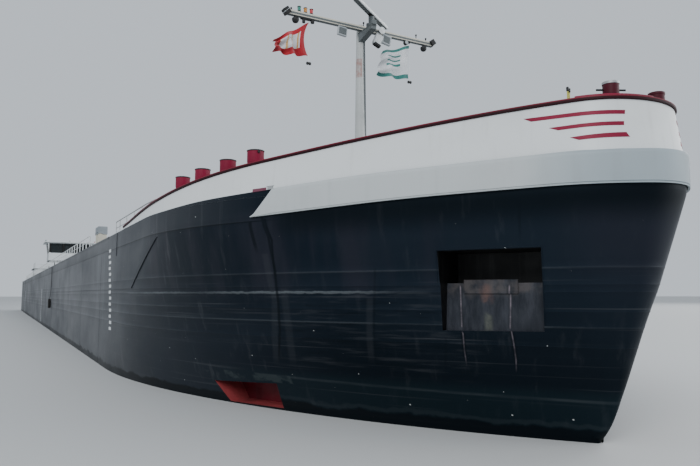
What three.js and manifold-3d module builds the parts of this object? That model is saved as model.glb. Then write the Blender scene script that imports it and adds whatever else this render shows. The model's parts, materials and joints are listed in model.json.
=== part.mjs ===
// River barge: a large Rhine motor cargo vessel, built as a 1:10 scale model, in millimetres.
// X runs forward, Y to port and Z up. The origin is amidships, on the centreline, on the flat bottom.
// One metre of the real ship is 100 mm here.
import * as THREE from 'three';
import { mergeVertices } from 'three/addons/utils/BufferGeometryUtils.js';
import Module from 'manifold-3d';

const wasm = await Module();
wasm.setup();

// Driving dimensions
const LENGTH = 11000;
const BEAM = 1145;
const WATER = 110;
const DECK_RISE = 400;
const EDGE_RISE = 451;
const FOREDECK_RISE = 450;
const HOLD_AFT = -3900;
const HOLD_FORE = 3770;
const HOLD_WIDTH = 980;
const HOLD_FLOOR = 60;
const COAMING_RISE = 60;
const COVER_COUNT = 8;
const MAST_X = 4534;
const YARD_RISE = 1025;
const YARD_LENGTH = 496;
const WHEELHOUSE_X = -4310;
const WHEELHOUSE_FLOOR_RISE = 748;
const PROPELLER_DIAMETER = 168;

// Sizes worked out from them
const HALF = BEAM / 2;
const BELT_PROUD = 7;
const BOW = LENGTH / 2 - BELT_PROUD;
const STERN = -LENGTH / 2;
const DECK = WATER + DECK_RISE;
const EDGE = WATER + EDGE_RISE;
const FOREDECK = WATER + FOREDECK_RISE;
const HOLD_HALF = HOLD_WIDTH / 2;
const COAMING_TOP = DECK + COAMING_RISE;
const YARD = WATER + YARD_RISE;
const GAP = 0.3;
const SIDES = [['starboard', -1], ['port', 1]];

// Paints and bare materials
const paint = (color, roughness = 0.5, metalness = 0.1) =>
  new THREE.MeshStandardMaterial({ color, roughness, metalness });
const NAVY = paint(0x0b1119, 0.35);
const GREY = paint(0x9ea7ab, 0.45);
const WHITE = paint(0xcdd4d7, 0.4);
const MAROON = paint(0x3a0c12, 0.45);
const CRIMSON = paint(0x96193a, 0.45);
const RED = paint(0x82192a, 0.6);
const CREAM = paint(0xcfc9b4, 0.5);
const ALUMINIUM = paint(0x9aa0a3, 0.35, 0.8);
const BLACK = paint(0x101113, 0.6);
const RUBBER = paint(0x141414, 0.9, 0);
const BRONZE = paint(0x9a7a45, 0.35, 0.9);
const GLASS = paint(0x20282c, 0.08, 0.1);
const RED_CLOTH = paint(0xb0202a, 0.9, 0);
const GREEN_CLOTH = paint(0x3f8a80, 0.9, 0);
const ENGINE_GREEN = paint(0x4a5a50, 0.5);

// Small tools for solids
const v = (x, y, z) => new THREE.Vector3(x, y, z);

const toSolid = (geometry) => {
  const bare = geometry.clone();
  for (const name of ['normal', 'uv']) {
    bare.deleteAttribute(name);
  }
  const merged = mergeVertices(bare, 1e-4);
  return new wasm.Manifold(new wasm.Mesh({
    numProp: 3,
    vertProperties: new Float32Array(merged.attributes.position.array),
    triVerts: new Uint32Array(merged.index.array),
  }));
};

const toGeometry = (solid) => {
  const mesh = solid.getMesh();
  const geometry = new THREE.BufferGeometry();
  geometry.setAttribute('position', new THREE.BufferAttribute(new Float32Array(mesh.vertProperties), 3));
  geometry.setIndex(new THREE.BufferAttribute(new Uint32Array(mesh.triVerts), 1));
  return geometry;
};

const join = (...parts) => toGeometry(parts.map(toSolid).reduce((all, part) => all.add(part)));
const cut = (body, ...tools) => toGeometry(tools.map(toSolid).reduce((left, tool) => left.subtract(tool),
  toSolid(body)));
const common = (a, b) => toGeometry(toSolid(a).intersect(toSolid(b)));

const box = (x0, x1, y0, y1, z0, z1) =>
  new THREE.BoxGeometry(x1 - x0, y1 - y0, z1 - z0).translate((x0 + x1) / 2, (y0 + y1) / 2, (z0 + z1) / 2);

// A round bar from one point to another
const rod = (from, to, radius, sides = 12, endRadius = radius) => {
  const span = to.clone().sub(from);
  const bar = new THREE.CylinderGeometry(endRadius, radius, span.length(), sides);
  bar.applyQuaternion(new THREE.Quaternion().setFromUnitVectors(v(0, 1, 0), span.clone().normalize()));
  return bar.translate(...from.clone().addScaledVector(span, 0.5).toArray());
};

// An outline in the X-Z plane drawn through the ship from y0 to y1
const slab = (outline, y0, y1) => {
  const shape = new THREE.Shape(outline.map(([x, z]) => new THREE.Vector2(x, z)));
  const solid = new THREE.ExtrudeGeometry(shape, { depth: y1 - y0, bevelEnabled: false });
  return solid.rotateX(Math.PI / 2).translate(0, y1, 0);
};

// An outline in the Y-Z plane drawn along the ship from x0 to x1
const profile = (outline, x0, x1) => {
  const shape = new THREE.Shape(outline.map(([y, z]) => new THREE.Vector2(y, z)));
  const solid = new THREE.ExtrudeGeometry(shape, { depth: x1 - x0, bevelEnabled: false });
  return solid.rotateX(Math.PI / 2).rotateZ(Math.PI / 2).translate(x0, 0, 0);
};

// An outline in the X-Y plane raised from z0 to z1
const plate = (outline, z0, z1) => {
  const shape = new THREE.Shape(outline.map(([x, y]) => new THREE.Vector2(x, y)));
  return new THREE.ExtrudeGeometry(shape, { depth: z1 - z0, bevelEnabled: false }).translate(0, 0, z0);
};

// A closed body through rings of equal count, each ring turning left as seen from where the body grows to
const loft = (rings) => {
  const count = rings[0].length;
  const positions = rings.flat().flatMap((p) => [p.x, p.y, p.z]);
  const index = [];
  for (let r = 0; r + 1 < rings.length; r += 1) {
    for (let k = 0; k < count; k += 1) {
      const a = r * count + k;
      const b = r * count + ((k + 1) % count);
      index.push(a, b, b + count, a, b + count, a + count);
    }
  }
  const last = (rings.length - 1) * count;
  for (let k = 1; k + 1 < count; k += 1) {
    index.push(0, k + 1, k, last, last + k, last + k + 1);
  }
  const geometry = new THREE.BufferGeometry();
  geometry.setAttribute('position', new THREE.Float32BufferAttribute(positions, 3));
  geometry.setIndex(index);
  return geometry;
};

// Height along a line given by rows of [x, value]
const along = (rows, x) => {
  if (x <= rows[0][0]) {
    return rows[0][1];
  }
  for (let k = 1; k < rows.length; k += 1) {
    if (x <= rows[k][0]) {
      const [x0, a] = rows[k - 1];
      const [x1, b] = rows[k];
      return a + (b - a) * (x - x0) / (x1 - x0);
    }
  }
  return rows[rows.length - 1][1];
};

const clamp = THREE.MathUtils.clamp;
const radians = THREE.MathUtils.degToRad;
const parts = new THREE.Group();
const add = (name, geometry, material) => {
  const mesh = new THREE.Mesh(geometry, material);
  mesh.name = name;
  parts.add(mesh);
  return mesh;
};

// Plan of the bow at one height: straight side, shoulder arc, straight flank, round nose.
// The flank opens and the nose grows from the forefoot up to the belt.
const FULL_RISE = 410;
const FOREFOOT = { radius: 268, start: 5133, top: 183, tip: 5387, rake: 0.3353 };
const FLANK = { low: 40, high: 30 };
const SHOULDER = { bottom: 1850, water: 2450, high: 1000 };
const NOSE = { least: 10, start: 20, most: 155, growth: 0.4 };
const BILGE = 40;

const bowShape = (z) => {
  const rise = z - WATER;
  const share = clamp(rise / FULL_RISE, 0, 1);
  const sunk = clamp(-rise / WATER, 0, 1);
  const tip = z < FOREFOOT.top
    ? FOREFOOT.start + FOREFOOT.radius * Math.sin(Math.acos(1 - z / FOREFOOT.radius))
    : Math.min(BOW, FOREFOOT.tip + (z - FOREFOOT.top) * FOREFOOT.rake);
  return {
    flank: radians(FLANK.low + (FLANK.high - FLANK.low) * share),
    shoulder: SHOULDER.water + (SHOULDER.high - SHOULDER.water) * share
      + (SHOULDER.bottom - SHOULDER.water) * sunk,
    nose: clamp(NOSE.start + (z - FOREFOOT.top) * NOSE.growth, NOSE.least, NOSE.most),
    tip,
    half: z < BILGE ? HALF - BILGE + Math.sqrt(BILGE ** 2 - (BILGE - z) ** 2) : HALF,
  };
};

// Points of that plan from starboard aft, round the nose, to port aft, moved inward by inset
const SHOULDER_STEPS = 12;
const NOSE_STEPS = 8;

const bowCurve = (z, inset = 0, aft = HOLD_FORE) => {
  const { flank, shoulder, nose, tip, half } = bowShape(z);
  const side = half - inset;
  const arc = shoulder - inset;
  const round = Math.max(nose - inset, 1);
  const centre = tip - inset - round;
  const turn = Math.PI / 2 - flank;
  const [tx, ty] = [centre + round * Math.cos(turn), round * Math.sin(turn)];
  const corner = tx - (side - ty) / Math.tan(flank);
  const start = corner - arc * Math.tan(flank / 2);
  const halfPlan = [[aft, side]];
  for (let k = 0; k <= SHOULDER_STEPS; k += 1) {
    const angle = flank * k / SHOULDER_STEPS;
    halfPlan.push([start + arc * Math.sin(angle), side - arc * (1 - Math.cos(angle))]);
  }
  for (let k = 0; k <= NOSE_STEPS; k += 1) {
    const angle = turn * (1 - k / NOSE_STEPS);
    halfPlan.push([centre + round * Math.cos(angle), round * Math.sin(angle)]);
  }
  const starboard = halfPlan.map(([x, y]) => [x, -y]);
  const port = halfPlan.slice(0, -1).reverse();
  return [...starboard, ...port];
};

const atHeight = (curve, z) => curve.map(([x, y]) => v(x, y, z));

// Hull ahead of the hold, with the anchor pockets and the side outlets of the bow thruster cut in.
// Each pit's corners are rows of [distance forward along the flank, z, depth], going round from aft low.
const BOW_LEVELS = [0, 6, 20, 40, 75, 110, 145, 183, 240, 300, 370, 440, 520, FOREDECK];
const PIT_REACH = 40;
const ANCHOR_POCKET = { x: 5286, y: 183, angle: 32 };
const ANCHOR_CAVITY = [[-92, 380, 110], [85, 380, 110], [88, 436, 110], [-91, 436, 110]];
const ANCHOR_PLATE = [[-96, 296, 54], [80, 298, 54], [85, 381, 50], [-91, 381, 50]];
const THRUSTER = { x: 4720, y: 408, angle: 20.6 };
const THRUSTER_OUTLET = [[-68, 113, 75], [105, 115, 75], [106, 170, 75], [-105, 159, 75]];

const pit = (corners, { x, y, angle }, side) => {
  const turn = radians(angle);
  const place = ([u, z], out) => v(
    x + u * Math.cos(turn) + out * Math.sin(turn),
    side * (y - u * Math.sin(turn) + out * Math.cos(turn)),
    z,
  );
  const round = side < 0 ? corners : corners.slice().reverse();
  return loft([round.map((row) => place(row, -row[2])), round.map((row) => place(row, PIT_REACH))]);
};

const foreHull = cut(
  loft(BOW_LEVELS.map((z) => atHeight(bowCurve(z), z))),
  ...SIDES.flatMap(([, side]) => [
    pit(ANCHOR_CAVITY, ANCHOR_POCKET, side),
    pit(ANCHOR_PLATE, ANCHOR_POCKET, side),
    pit(THRUSTER_OUTLET, THRUSTER, side),
  ]),
);
add('fore_hull', foreHull, NAVY);

// Hold: a double bottom between two side tanks with a rounded bilge
const bilgeArc = (side, steps = 6) => Array.from({ length: steps + 1 }, (_, k) => {
  const angle = (Math.PI / 2) * k / steps;
  return [side * (HALF - BILGE + BILGE * Math.sin(angle)), BILGE - BILGE * Math.cos(angle)];
});
add('hold_bottom', box(HOLD_AFT + GAP, HOLD_FORE - GAP, -HOLD_HALF + GAP, HOLD_HALF - GAP, 0, HOLD_FLOOR),
  RED);
for (const [name, side] of SIDES) {
  const outline = [[side * HOLD_HALF, 0], ...bilgeArc(side), [side * HALF, DECK], [side * HOLD_HALF, DECK]];
  add(`side_tank_${name}`, profile(side > 0 ? outline : outline.reverse(), HOLD_AFT + GAP,
    HOLD_FORE - GAP), NAVY);
}

// Hull behind the hold: the bottom rises to the stern, with two screw tunnels and an engine room
const STERN_CORNER = 260;
const RUN = { start: -4700, end: -5400, height: 80 };
const SHAFT = { y: 270, z: 92, x: -5050 };
const TUNNEL = { radius: 94, start: -4660, full: -4860 };
const ENGINE_ROOM = { aft: -4680, fore: -4060, half: 420, floor: 60 };

const sternPlan = (inset, fore, corner = STERN_CORNER) => {
  const points = [];
  for (let k = 0; k <= 8; k += 1) {
    const angle = (Math.PI / 2) * k / 8;
    points.push([STERN + corner - (corner - inset) * Math.sin(angle),
      HALF - corner + (corner - inset) * Math.cos(angle)]);
  }
  const mirrored = points.slice().reverse().map(([x, y]) => [x, -y]);
  return [[fore, HALF - inset], ...points, ...mirrored, [fore, -(HALF - inset)]];
};
const runOutline = [[HOLD_AFT, 0], [HOLD_AFT, DECK], [STERN - 1, DECK], [STERN - 1, RUN.height],
  [RUN.end, RUN.height], [-5050, 34], [RUN.start, 0]];
const bilgeBlock = profile([[-(HALF - BILGE), 0], ...bilgeArc(1), [HALF, DECK + 1], [-HALF, DECK + 1],
  ...bilgeArc(-1).slice(1).reverse()], STERN - 2, HOLD_AFT + 1);
const tunnels = SIDES.flatMap(([, side]) => [
  rod(v(STERN - 10, side * SHAFT.y, SHAFT.z), v(TUNNEL.full, side * SHAFT.y, SHAFT.z), TUNNEL.radius, 24),
  rod(v(TUNNEL.full + 0.5, side * SHAFT.y, SHAFT.z), v(TUNNEL.start, side * SHAFT.y, SHAFT.z - 90),
    TUNNEL.radius, 24, 20),
  box(STERN - 10, TUNNEL.full, side * SHAFT.y - TUNNEL.radius, side * SHAFT.y + TUNNEL.radius, -10,
    SHAFT.z),
]);
const aftHull = cut(
  common(common(slab(runOutline, -HALF - 1, HALF + 1), plate(sternPlan(0, HOLD_AFT), -1, DECK + 2)),
    bilgeBlock),
  ...tunnels,
  box(ENGINE_ROOM.aft, ENGINE_ROOM.fore, -ENGINE_ROOM.half, ENGINE_ROOM.half, ENGINE_ROOM.floor, DECK + 5),
);
add('aft_hull', aftHull, NAVY);

const ENGINE = { length: 350, width: 150, height: 200, x: -4420, y: 270 };
add('main_engines', join(
  box(ENGINE.x - ENGINE.length / 2, ENGINE.x + ENGINE.length / 2, -ENGINE.y, ENGINE.y,
    ENGINE_ROOM.floor + GAP, ENGINE_ROOM.floor + 14),
  ...SIDES.map(([, side]) => box(ENGINE.x - ENGINE.length / 2, ENGINE.x + ENGINE.length / 2,
    side * ENGINE.y - ENGINE.width / 2, side * ENGINE.y + ENGINE.width / 2,
    ENGINE_ROOM.floor + GAP, ENGINE_ROOM.floor + ENGINE.height)),
), ENGINE_GREEN);

// Sheer lines of the bow, as rows of [x, height above water]
const BELT_LOW = [[4525, 400], [4695, 403], [4895, 409], [5055, 416], [5175, 420]];
const BELT_HIGH = [[4585, 451], [4685, 457], [4825, 460], [5025, 470], [5105, 473]];
const RAIL_LINE = [[4060, 453], [4130, 459.5], [4288, 470.5], [4474, 479.5], [4608, 494], [4733, 508],
  [4909, 525], [5086, 540.5], [5250, 550.5], [5395, 554.5], [5500, 553]];

// A strip along the bow between two ends, each section an outline of [inset, height]
const bowStrip = (curve, section) => loft(curve.map(([x, y], k) => {
  const before = curve[Math.max(k - 1, 0)];
  const after = curve[Math.min(k + 1, curve.length - 1)];
  const tangent = new THREE.Vector2(after[0] - before[0], after[1] - before[1]).normalize();
  return section(x).map(([inset, z]) => v(x - tangent.y * inset, y + tangent.x * inset, z));
}));

// Bow curve at foredeck height, cut off square at the first of some places, with a point at each of them
const curveFrom = (places) => {
  const full = bowCurve(FOREDECK);
  const starboard = full.slice(0, full.length / 2 + 1);
  const start = places.map((x) => [x, along(starboard, x)]);
  const ahead = full.filter(([x]) => x > Math.max(...places) + 2);
  const end = start.slice().reverse().map(([x, y]) => [x, -y]);
  return [...start, ...ahead, ...end];
};

const BULWARK = { places: [4060, 4130, 4288], thickness: 8, lean: 0.13 };
const bulwarkTop = (x) => WATER + along(RAIL_LINE, x);
const bulwarkLean = (x) => BULWARK.lean * (bulwarkTop(x) - FOREDECK);
add('bow_bulwark', bowStrip(curveFrom(BULWARK.places), (x) => [
  [GAP, FOREDECK + GAP],
  [BULWARK.thickness, FOREDECK + GAP],
  [bulwarkLean(x) + BULWARK.thickness, bulwarkTop(x)],
  [bulwarkLean(x), bulwarkTop(x)],
]), WHITE);

const CAP = { out: 3, width: 11, height: 7 };
add('bulwark_cap_rail', bowStrip(curveFrom(BULWARK.places), (x) => [
  [bulwarkLean(x) - CAP.out, bulwarkTop(x) + GAP],
  [bulwarkLean(x) - CAP.out + CAP.width, bulwarkTop(x) + GAP],
  [bulwarkLean(x) - CAP.out + CAP.width, bulwarkTop(x) + CAP.height],
  [bulwarkLean(x) - CAP.out, bulwarkTop(x) + CAP.height],
]), MAROON);

// The belt's aft end is slanted: its height grows from a share of it at the foot to the whole
const BELT = { aft: 4860, slant: 58, least: 0.04, proud: BELT_PROUD, foot: 3, bevel: 8, gap: 0.8 };
const beltTop = (x) => WATER + along(BELT_HIGH, x);
const beltFoot = (x) => WATER + along(BELT_LOW, x);
add('bow_belt', bowStrip(curveFrom([BELT.aft, BELT.aft + BELT.slant]), (x) => {
  const grown = clamp((x - BELT.aft) / BELT.slant, BELT.least, 1);
  const low = beltFoot(x);
  const high = low + (beltTop(x) - low) * grown;
  return [
    [-BELT.foot, low],
    [-BELT.gap, low + 1],
    [-BELT.gap, high],
    [-BELT.proud, Math.max(high - BELT.bevel, low + 1)],
  ];
}), GREY);

// Low bulwark along the side decks and round the stern
const FOOT = { thickness: 6, fore: 3768 };
const sternRing = (inset) => sternPlan(inset, FOOT.fore);
const footOuter = plate(sternRing(0.1), DECK + GAP, EDGE);
const footInner = plate(sternRing(FOOT.thickness).map(([x, y]) => [x > 0 ? x + 10 : x, y]), DECK - 5, EDGE + 5);
add('side_bulwark', cut(footOuter, footInner), NAVY);

// Coaming round the hold
const COAMING = { plate: 15, rail: 36, railHeight: 8 };
for (const [name, side] of SIDES) {
  const inner = HOLD_HALF;
  const outer = HOLD_HALF + COAMING.plate;
  const outline = [[inner, DECK + GAP], [outer, DECK + GAP], [outer, COAMING_TOP - COAMING.railHeight],
    [outer + 5, COAMING_TOP - COAMING.railHeight], [outer + 5, COAMING_TOP], [inner - 16, COAMING_TOP],
    [inner - 16, COAMING_TOP - COAMING.railHeight], [inner, COAMING_TOP - COAMING.railHeight]]
    .map(([y, z]) => [side * y, z]);
  add(`coaming_${name}`, profile(side > 0 ? outline : outline.reverse(), HOLD_AFT + GAP, HOLD_FORE - GAP),
    CREAM);
}
add('coaming_fore', box(HOLD_FORE, HOLD_FORE + COAMING.plate, -HOLD_HALF - COAMING.plate,
  HOLD_HALF + COAMING.plate, FOREDECK + GAP, COAMING_TOP), CREAM);
add('coaming_aft', box(HOLD_AFT - COAMING.plate, HOLD_AFT, -HOLD_HALF - COAMING.plate,
  HOLD_HALF + COAMING.plate, DECK + GAP, COAMING_TOP), CREAM);

// Rolling hatch covers, low and high in turn, so that each high one rolls forward over its low neighbour
const COVER_PITCH = (HOLD_FORE - HOLD_AFT) / COVER_COUNT;
const COVER = { thickness: 10, crown: 34, low: { half: 481, side: 15 }, high: { half: 500, side: 34 },
  overlap: 14, clearance: 3 };
const coverOutline = (half, side) => {
  const top = (share) => COAMING_TOP + GAP + side + COVER.crown * (1 - share ** 2);
  const shares = [1, 0.75, 0.5, 0.25, 0, -0.25, -0.5, -0.75, -1];
  const outer = shares.map((s) => [half * s, top(s)]);
  const inner = shares.map((s) => [(half - COVER.thickness) * s, top(s) - COVER.thickness]).reverse();
  return [[half, COAMING_TOP + GAP], ...outer, [-half, COAMING_TOP + GAP],
    [-(half - COVER.thickness), COAMING_TOP + GAP], ...inner, [half - COVER.thickness, COAMING_TOP + GAP]];
};
for (let k = 1; k <= COVER_COUNT; k += 1) {
  const raised = k % 2 === 0;
  const { half, side } = raised ? COVER.high : COVER.low;
  const fore = HOLD_FORE - (k - 1) * COVER_PITCH;
  const reach = raised ? COVER.overlap : -COVER.clearance / 2;
  add(`hatch_cover_${k}`, profile(coverOutline(half, side), fore - COVER_PITCH - reach, fore + reach),
    ALUMINIUM);
}

// Foremast on its tabernacle, with a bracket for the radar
const PIVOT = { z: 700, radius: 9 };
const MAST = { foot: 21, head: 10.5, low: 585, high: 1152 };
const CHEEK = { inner: 24, outer: 34, reach: 32 };
add('mast_step', join(
  box(MAST_X - 46, MAST_X + 46, -46, 46, FOREDECK + GAP, FOREDECK + 10),
  ...SIDES.map(([, side]) => box(MAST_X - CHEEK.reach, MAST_X + CHEEK.reach,
    side * (side > 0 ? CHEEK.inner : CHEEK.outer), side * (side > 0 ? CHEEK.outer : CHEEK.inner),
    FOREDECK + 5, PIVOT.z + 22)),
), CREAM);
const RADAR = { x: MAST_X + 66, z: 1154, length: 220, turn: 126 };
add('foremast', join(
  rod(v(MAST_X, 0, MAST.low), v(MAST_X, 0, MAST.high), MAST.foot, 20, MAST.head),
  rod(v(MAST_X, -CHEEK.inner + 0.5, PIVOT.z), v(MAST_X, CHEEK.inner - 0.5, PIVOT.z), PIVOT.radius, 16),
  slab([[MAST_X, YARD - 38], [RADAR.x + 12, YARD - 21], [RADAR.x + 12, YARD - 10], [MAST_X, YARD - 9]], -9, 9),
  rod(v(RADAR.x, 0, YARD - 16), v(RADAR.x, 0, RADAR.z - GAP), 9, 16),
), CREAM);
const scanner = box(-5, 5, -RADAR.length / 2, RADAR.length / 2, 3, 13);
scanner.rotateZ(radians(RADAR.turn - 90)).translate(RADAR.x, 0, RADAR.z);
add('radar_scanner', join(
  rod(v(RADAR.x, 0, RADAR.z), v(RADAR.x, 0, RADAR.z + 5), 8, 16),
  scanner,
), WHITE);

// Yard on the mast's fore side, with the flags' halyards and their weights
const YARD_BAR = { aft: MAST_X + 11.4, fore: MAST_X + 24, half: 7 };
const HALYARD_X = (YARD_BAR.aft + YARD_BAR.fore) / 2;
const FLAGS = [
  { side: 'starboard', y: -175, low: 1022, high: 1121, fly: 101, weight: 1000, cloth: RED_CLOTH },
  { side: 'port', y: 163, low: 1012, high: 1117, fly: 109, weight: 1002, cloth: GREEN_CLOTH },
];
const halyards = FLAGS.flatMap(({ y, weight }) => [
  rod(v(HALYARD_X, y, weight), v(HALYARD_X, y, YARD - 6), 0.8, 8),
  rod(v(HALYARD_X, y, weight - 9), v(HALYARD_X, y, weight + 3), 4, 12),
]);
const LAMP = { reach: 8, inner: 12, low: -4, high: 14 };
const lampEnds = SIDES.map(([, side]) => {
  const outer = side * (YARD_LENGTH / 2 + LAMP.reach);
  const inner = side * (YARD_LENGTH / 2 - LAMP.inner);
  return box(YARD_BAR.aft - 4, YARD_BAR.fore + 6, Math.min(outer, inner), Math.max(outer, inner),
    YARD + LAMP.low, YARD + LAMP.high);
});
add('mast_yard', join(
  box(YARD_BAR.aft, YARD_BAR.fore, -YARD_LENGTH / 2, YARD_LENGTH / 2, YARD - YARD_BAR.half,
    YARD + YARD_BAR.half),
  ...lampEnds,
  ...halyards,
), CREAM);

for (const { side, y, low, high, fly, cloth } of FLAGS) {
  add(`flag_${side}`, box(HALYARD_X - 1, HALYARD_X + 1, y - fly, y - 1.5, low, high), cloth);
}

// Bollards: rows of [x, y, height] along the foredeck, and doubles on the side decks
const BOLLARD = { radius: 15.5, cap: 18.5 };
const bollard = (x, y, base, height) => [
  rod(v(x, y, base), v(x, y, base + height - 12), BOLLARD.radius, 16),
  rod(v(x, y, base + height - 14), v(x, y, base + height), BOLLARD.cap, 16),
];
const FORE_BOLLARDS = [[4450, 490, 107.5], [4580, 474, 107.5], [4710, 452, 108.2], [4810, 422, 114]];
for (const [name, side] of SIDES) {
  const base = FOREDECK + GAP;
  const posts = FORE_BOLLARDS.flatMap(([x, y, height]) => bollard(x, side * y, base, height));
  const feet = FORE_BOLLARDS.slice(1).map(([x, y], k) => {
    const [px, py] = FORE_BOLLARDS[k];
    return rod(v(px, side * py, base + 8), v(x, side * y, base + 8), 7, 8);
  });
  add(`fore_bollards_${name}`, join(...posts, ...feet), CRIMSON);
}
// Each bow bollard has a pin through it that lies along the rail: half of it runs along X and across Y
const BOW_BOLLARD = { x: 5443, y: 57, radius: 12.5, base: 8, top: 139, pin: 126, along: 11, across: 21.5 };
add('bow_bollards', join(
  box(BOW_BOLLARD.x - 30, BOW_BOLLARD.x + 18, -BOW_BOLLARD.y - 14, BOW_BOLLARD.y + 14, FOREDECK + GAP,
    FOREDECK + BOW_BOLLARD.base),
  ...SIDES.flatMap(([, side]) => {
    const y = side * BOW_BOLLARD.y;
    return [
      rod(v(BOW_BOLLARD.x, y, FOREDECK + 4), v(BOW_BOLLARD.x, y, FOREDECK + BOW_BOLLARD.top),
        BOW_BOLLARD.radius, 20),
      rod(v(BOW_BOLLARD.x - BOW_BOLLARD.along, y + side * BOW_BOLLARD.across, FOREDECK + BOW_BOLLARD.pin),
        v(BOW_BOLLARD.x + BOW_BOLLARD.along, y - side * BOW_BOLLARD.across, FOREDECK + BOW_BOLLARD.pin),
        2.5, 12),
    ];
  }),
), CRIMSON);

// A double bollard on each side deck amidships and at the stern
const DOUBLE_BOLLARD = { y: 538, length: 104, width: 36, base: 8, spread: 32, post: 12, cap: 15, top: 66 };
for (const [place, x] of [['side', 0], ['stern', -5150]]) {
  for (const [name, side] of SIDES) {
    const y = side * DOUBLE_BOLLARD.y;
    const capFoot = DECK + DOUBLE_BOLLARD.top - 10;
    add(`${place}_bollards_${name}`, join(
      box(x - DOUBLE_BOLLARD.length / 2, x + DOUBLE_BOLLARD.length / 2, y - DOUBLE_BOLLARD.width / 2,
        y + DOUBLE_BOLLARD.width / 2, DECK + GAP, DECK + DOUBLE_BOLLARD.base),
      ...[-1, 1].flatMap((shift) => {
        const post = x + shift * DOUBLE_BOLLARD.spread;
        return [
          rod(v(post, y, DECK + 4), v(post, y, capFoot + 4), DOUBLE_BOLLARD.post, 12),
          rod(v(post, y, capFoot), v(post, y, DECK + DOUBLE_BOLLARD.top), DOUBLE_BOLLARD.cap, 12),
        ];
      }),
    ), CRIMSON);
  }
}

// Anchor windlass on the foredeck
const WINDLASS = { x: 5040, z: FOREDECK + 48 };
add('windlass_frame', join(
  box(WINDLASS.x - 50, WINDLASS.x + 50, -110, 110, FOREDECK + GAP, FOREDECK + 9),
  box(WINDLASS.x - 26, WINDLASS.x + 26, -95, -83, FOREDECK + 5, WINDLASS.z + 16),
  box(WINDLASS.x - 26, WINDLASS.x + 26, 83, 95, FOREDECK + 5, WINDLASS.z + 16),
), GREY);
add('windlass_drum', join(
  rod(v(WINDLASS.x, -82, WINDLASS.z), v(WINDLASS.x, 82, WINDLASS.z), 12, 16),
  ...[-70, -30, 30, 70].map((y) => rod(v(WINDLASS.x, y - 5, WINDLASS.z), v(WINDLASS.x, y + 5, WINDLASS.z),
    30, 20)),
), BLACK);

// Railings along the side decks
const RAILING = { aft: -3800, fore: 3200, pitch: 125, y: 569, foot: EDGE, top: EDGE + 50 };
for (const [name, side] of SIDES) {
  const y = side * RAILING.y;
  const posts = [];
  for (let x = RAILING.aft; x <= RAILING.fore; x += 2 * RAILING.pitch) {
    posts.push(box(x - 2, x + 2, y - 2, y + 2, RAILING.foot + GAP, RAILING.top - 1));
  }
  add(`side_railing_${name}`, join(
    box(RAILING.aft - 4, RAILING.fore + 4, y - 2.5, y + 2.5, RAILING.top - 4, RAILING.top),
    ...posts,
  ), WHITE);
}

// Screws on their shafts, with a rudder behind each
const BLADES = 4;
for (const [name, side] of SIDES) {
  const y = side * SHAFT.y;
  const hub = rod(v(SHAFT.x - 26, y, SHAFT.z), v(SHAFT.x + 26, y, SHAFT.z), 15, 16);
  const blades = Array.from({ length: BLADES }, (_, k) => {
    const blade = box(-4, 4, -26, 26, 8, PROPELLER_DIAMETER / 2 - 1);
    blade.rotateZ(radians(38));
    return blade.rotateX(2 * Math.PI * k / BLADES + Math.PI / 4).translate(SHAFT.x, y, SHAFT.z);
  });
  const shaft = rod(v(SHAFT.x, y, SHAFT.z), v(SHAFT.x + 180, y, SHAFT.z), 7, 12);
  add(`propeller_${name}`, join(hub, shaft, ...blades), BRONZE);
  const rudderX = SHAFT.x - 130;
  add(`rudder_${name}`, join(
    plate([[rudderX + 28, y - 5], [rudderX + 34, y], [rudderX + 28, y + 5], [rudderX - 90, y + 1.5],
      [rudderX - 90, y - 1.5]], 10, 160),
    rod(v(rudderX, y, 150), v(rudderX, y, 184), 6, 12),
  ), RED);
}

// Casing over the engine room, with the sleeve of the wheelhouse lift standing through it
const CASING = { aft: ENGINE_ROOM.aft - 20, fore: ENGINE_ROOM.fore + 20, half: 440, top: DECK + 70 };
const SLEEVE = { half: 46, wall: 8, bottom: 190, top: 630 };
add('engine_casing', cut(
  box(CASING.aft, CASING.fore, -CASING.half, CASING.half, DECK + GAP, CASING.top),
  box(WHEELHOUSE_X - SLEEVE.half - GAP, WHEELHOUSE_X + SLEEVE.half + GAP, -SLEEVE.half - GAP,
    SLEEVE.half + GAP, DECK - 5, CASING.top + 5),
), WHITE);
const sleeveHole = SLEEVE.half - SLEEVE.wall;
add('lift_sleeve', cut(
  box(WHEELHOUSE_X - SLEEVE.half, WHEELHOUSE_X + SLEEVE.half, -SLEEVE.half, SLEEVE.half, SLEEVE.bottom,
    SLEEVE.top),
  box(WHEELHOUSE_X - sleeveHole, WHEELHOUSE_X + sleeveHole, -sleeveHole, sleeveHole, SLEEVE.bottom + 8,
    SLEEVE.top + 5),
), GREY);

// Wheelhouse: floor and lift ram, leaning window walls, glass, roof and two doors
const FLOOR = WATER + WHEELHOUSE_FLOOR_RISE;
const HOUSE = { length: 400, width: 560, sill: 965, head: 1105, top: 1118, lean: 22, wall: 12 };
const RAM = { half: 32, bottom: 430 };
const ring = (grow, z) => {
  const x = HOUSE.length / 2 + grow;
  const y = HOUSE.width / 2 + grow;
  return [v(WHEELHOUSE_X + x, y, z), v(WHEELHOUSE_X - x, y, z), v(WHEELHOUSE_X - x, -y, z),
    v(WHEELHOUSE_X + x, -y, z)];
};
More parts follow.
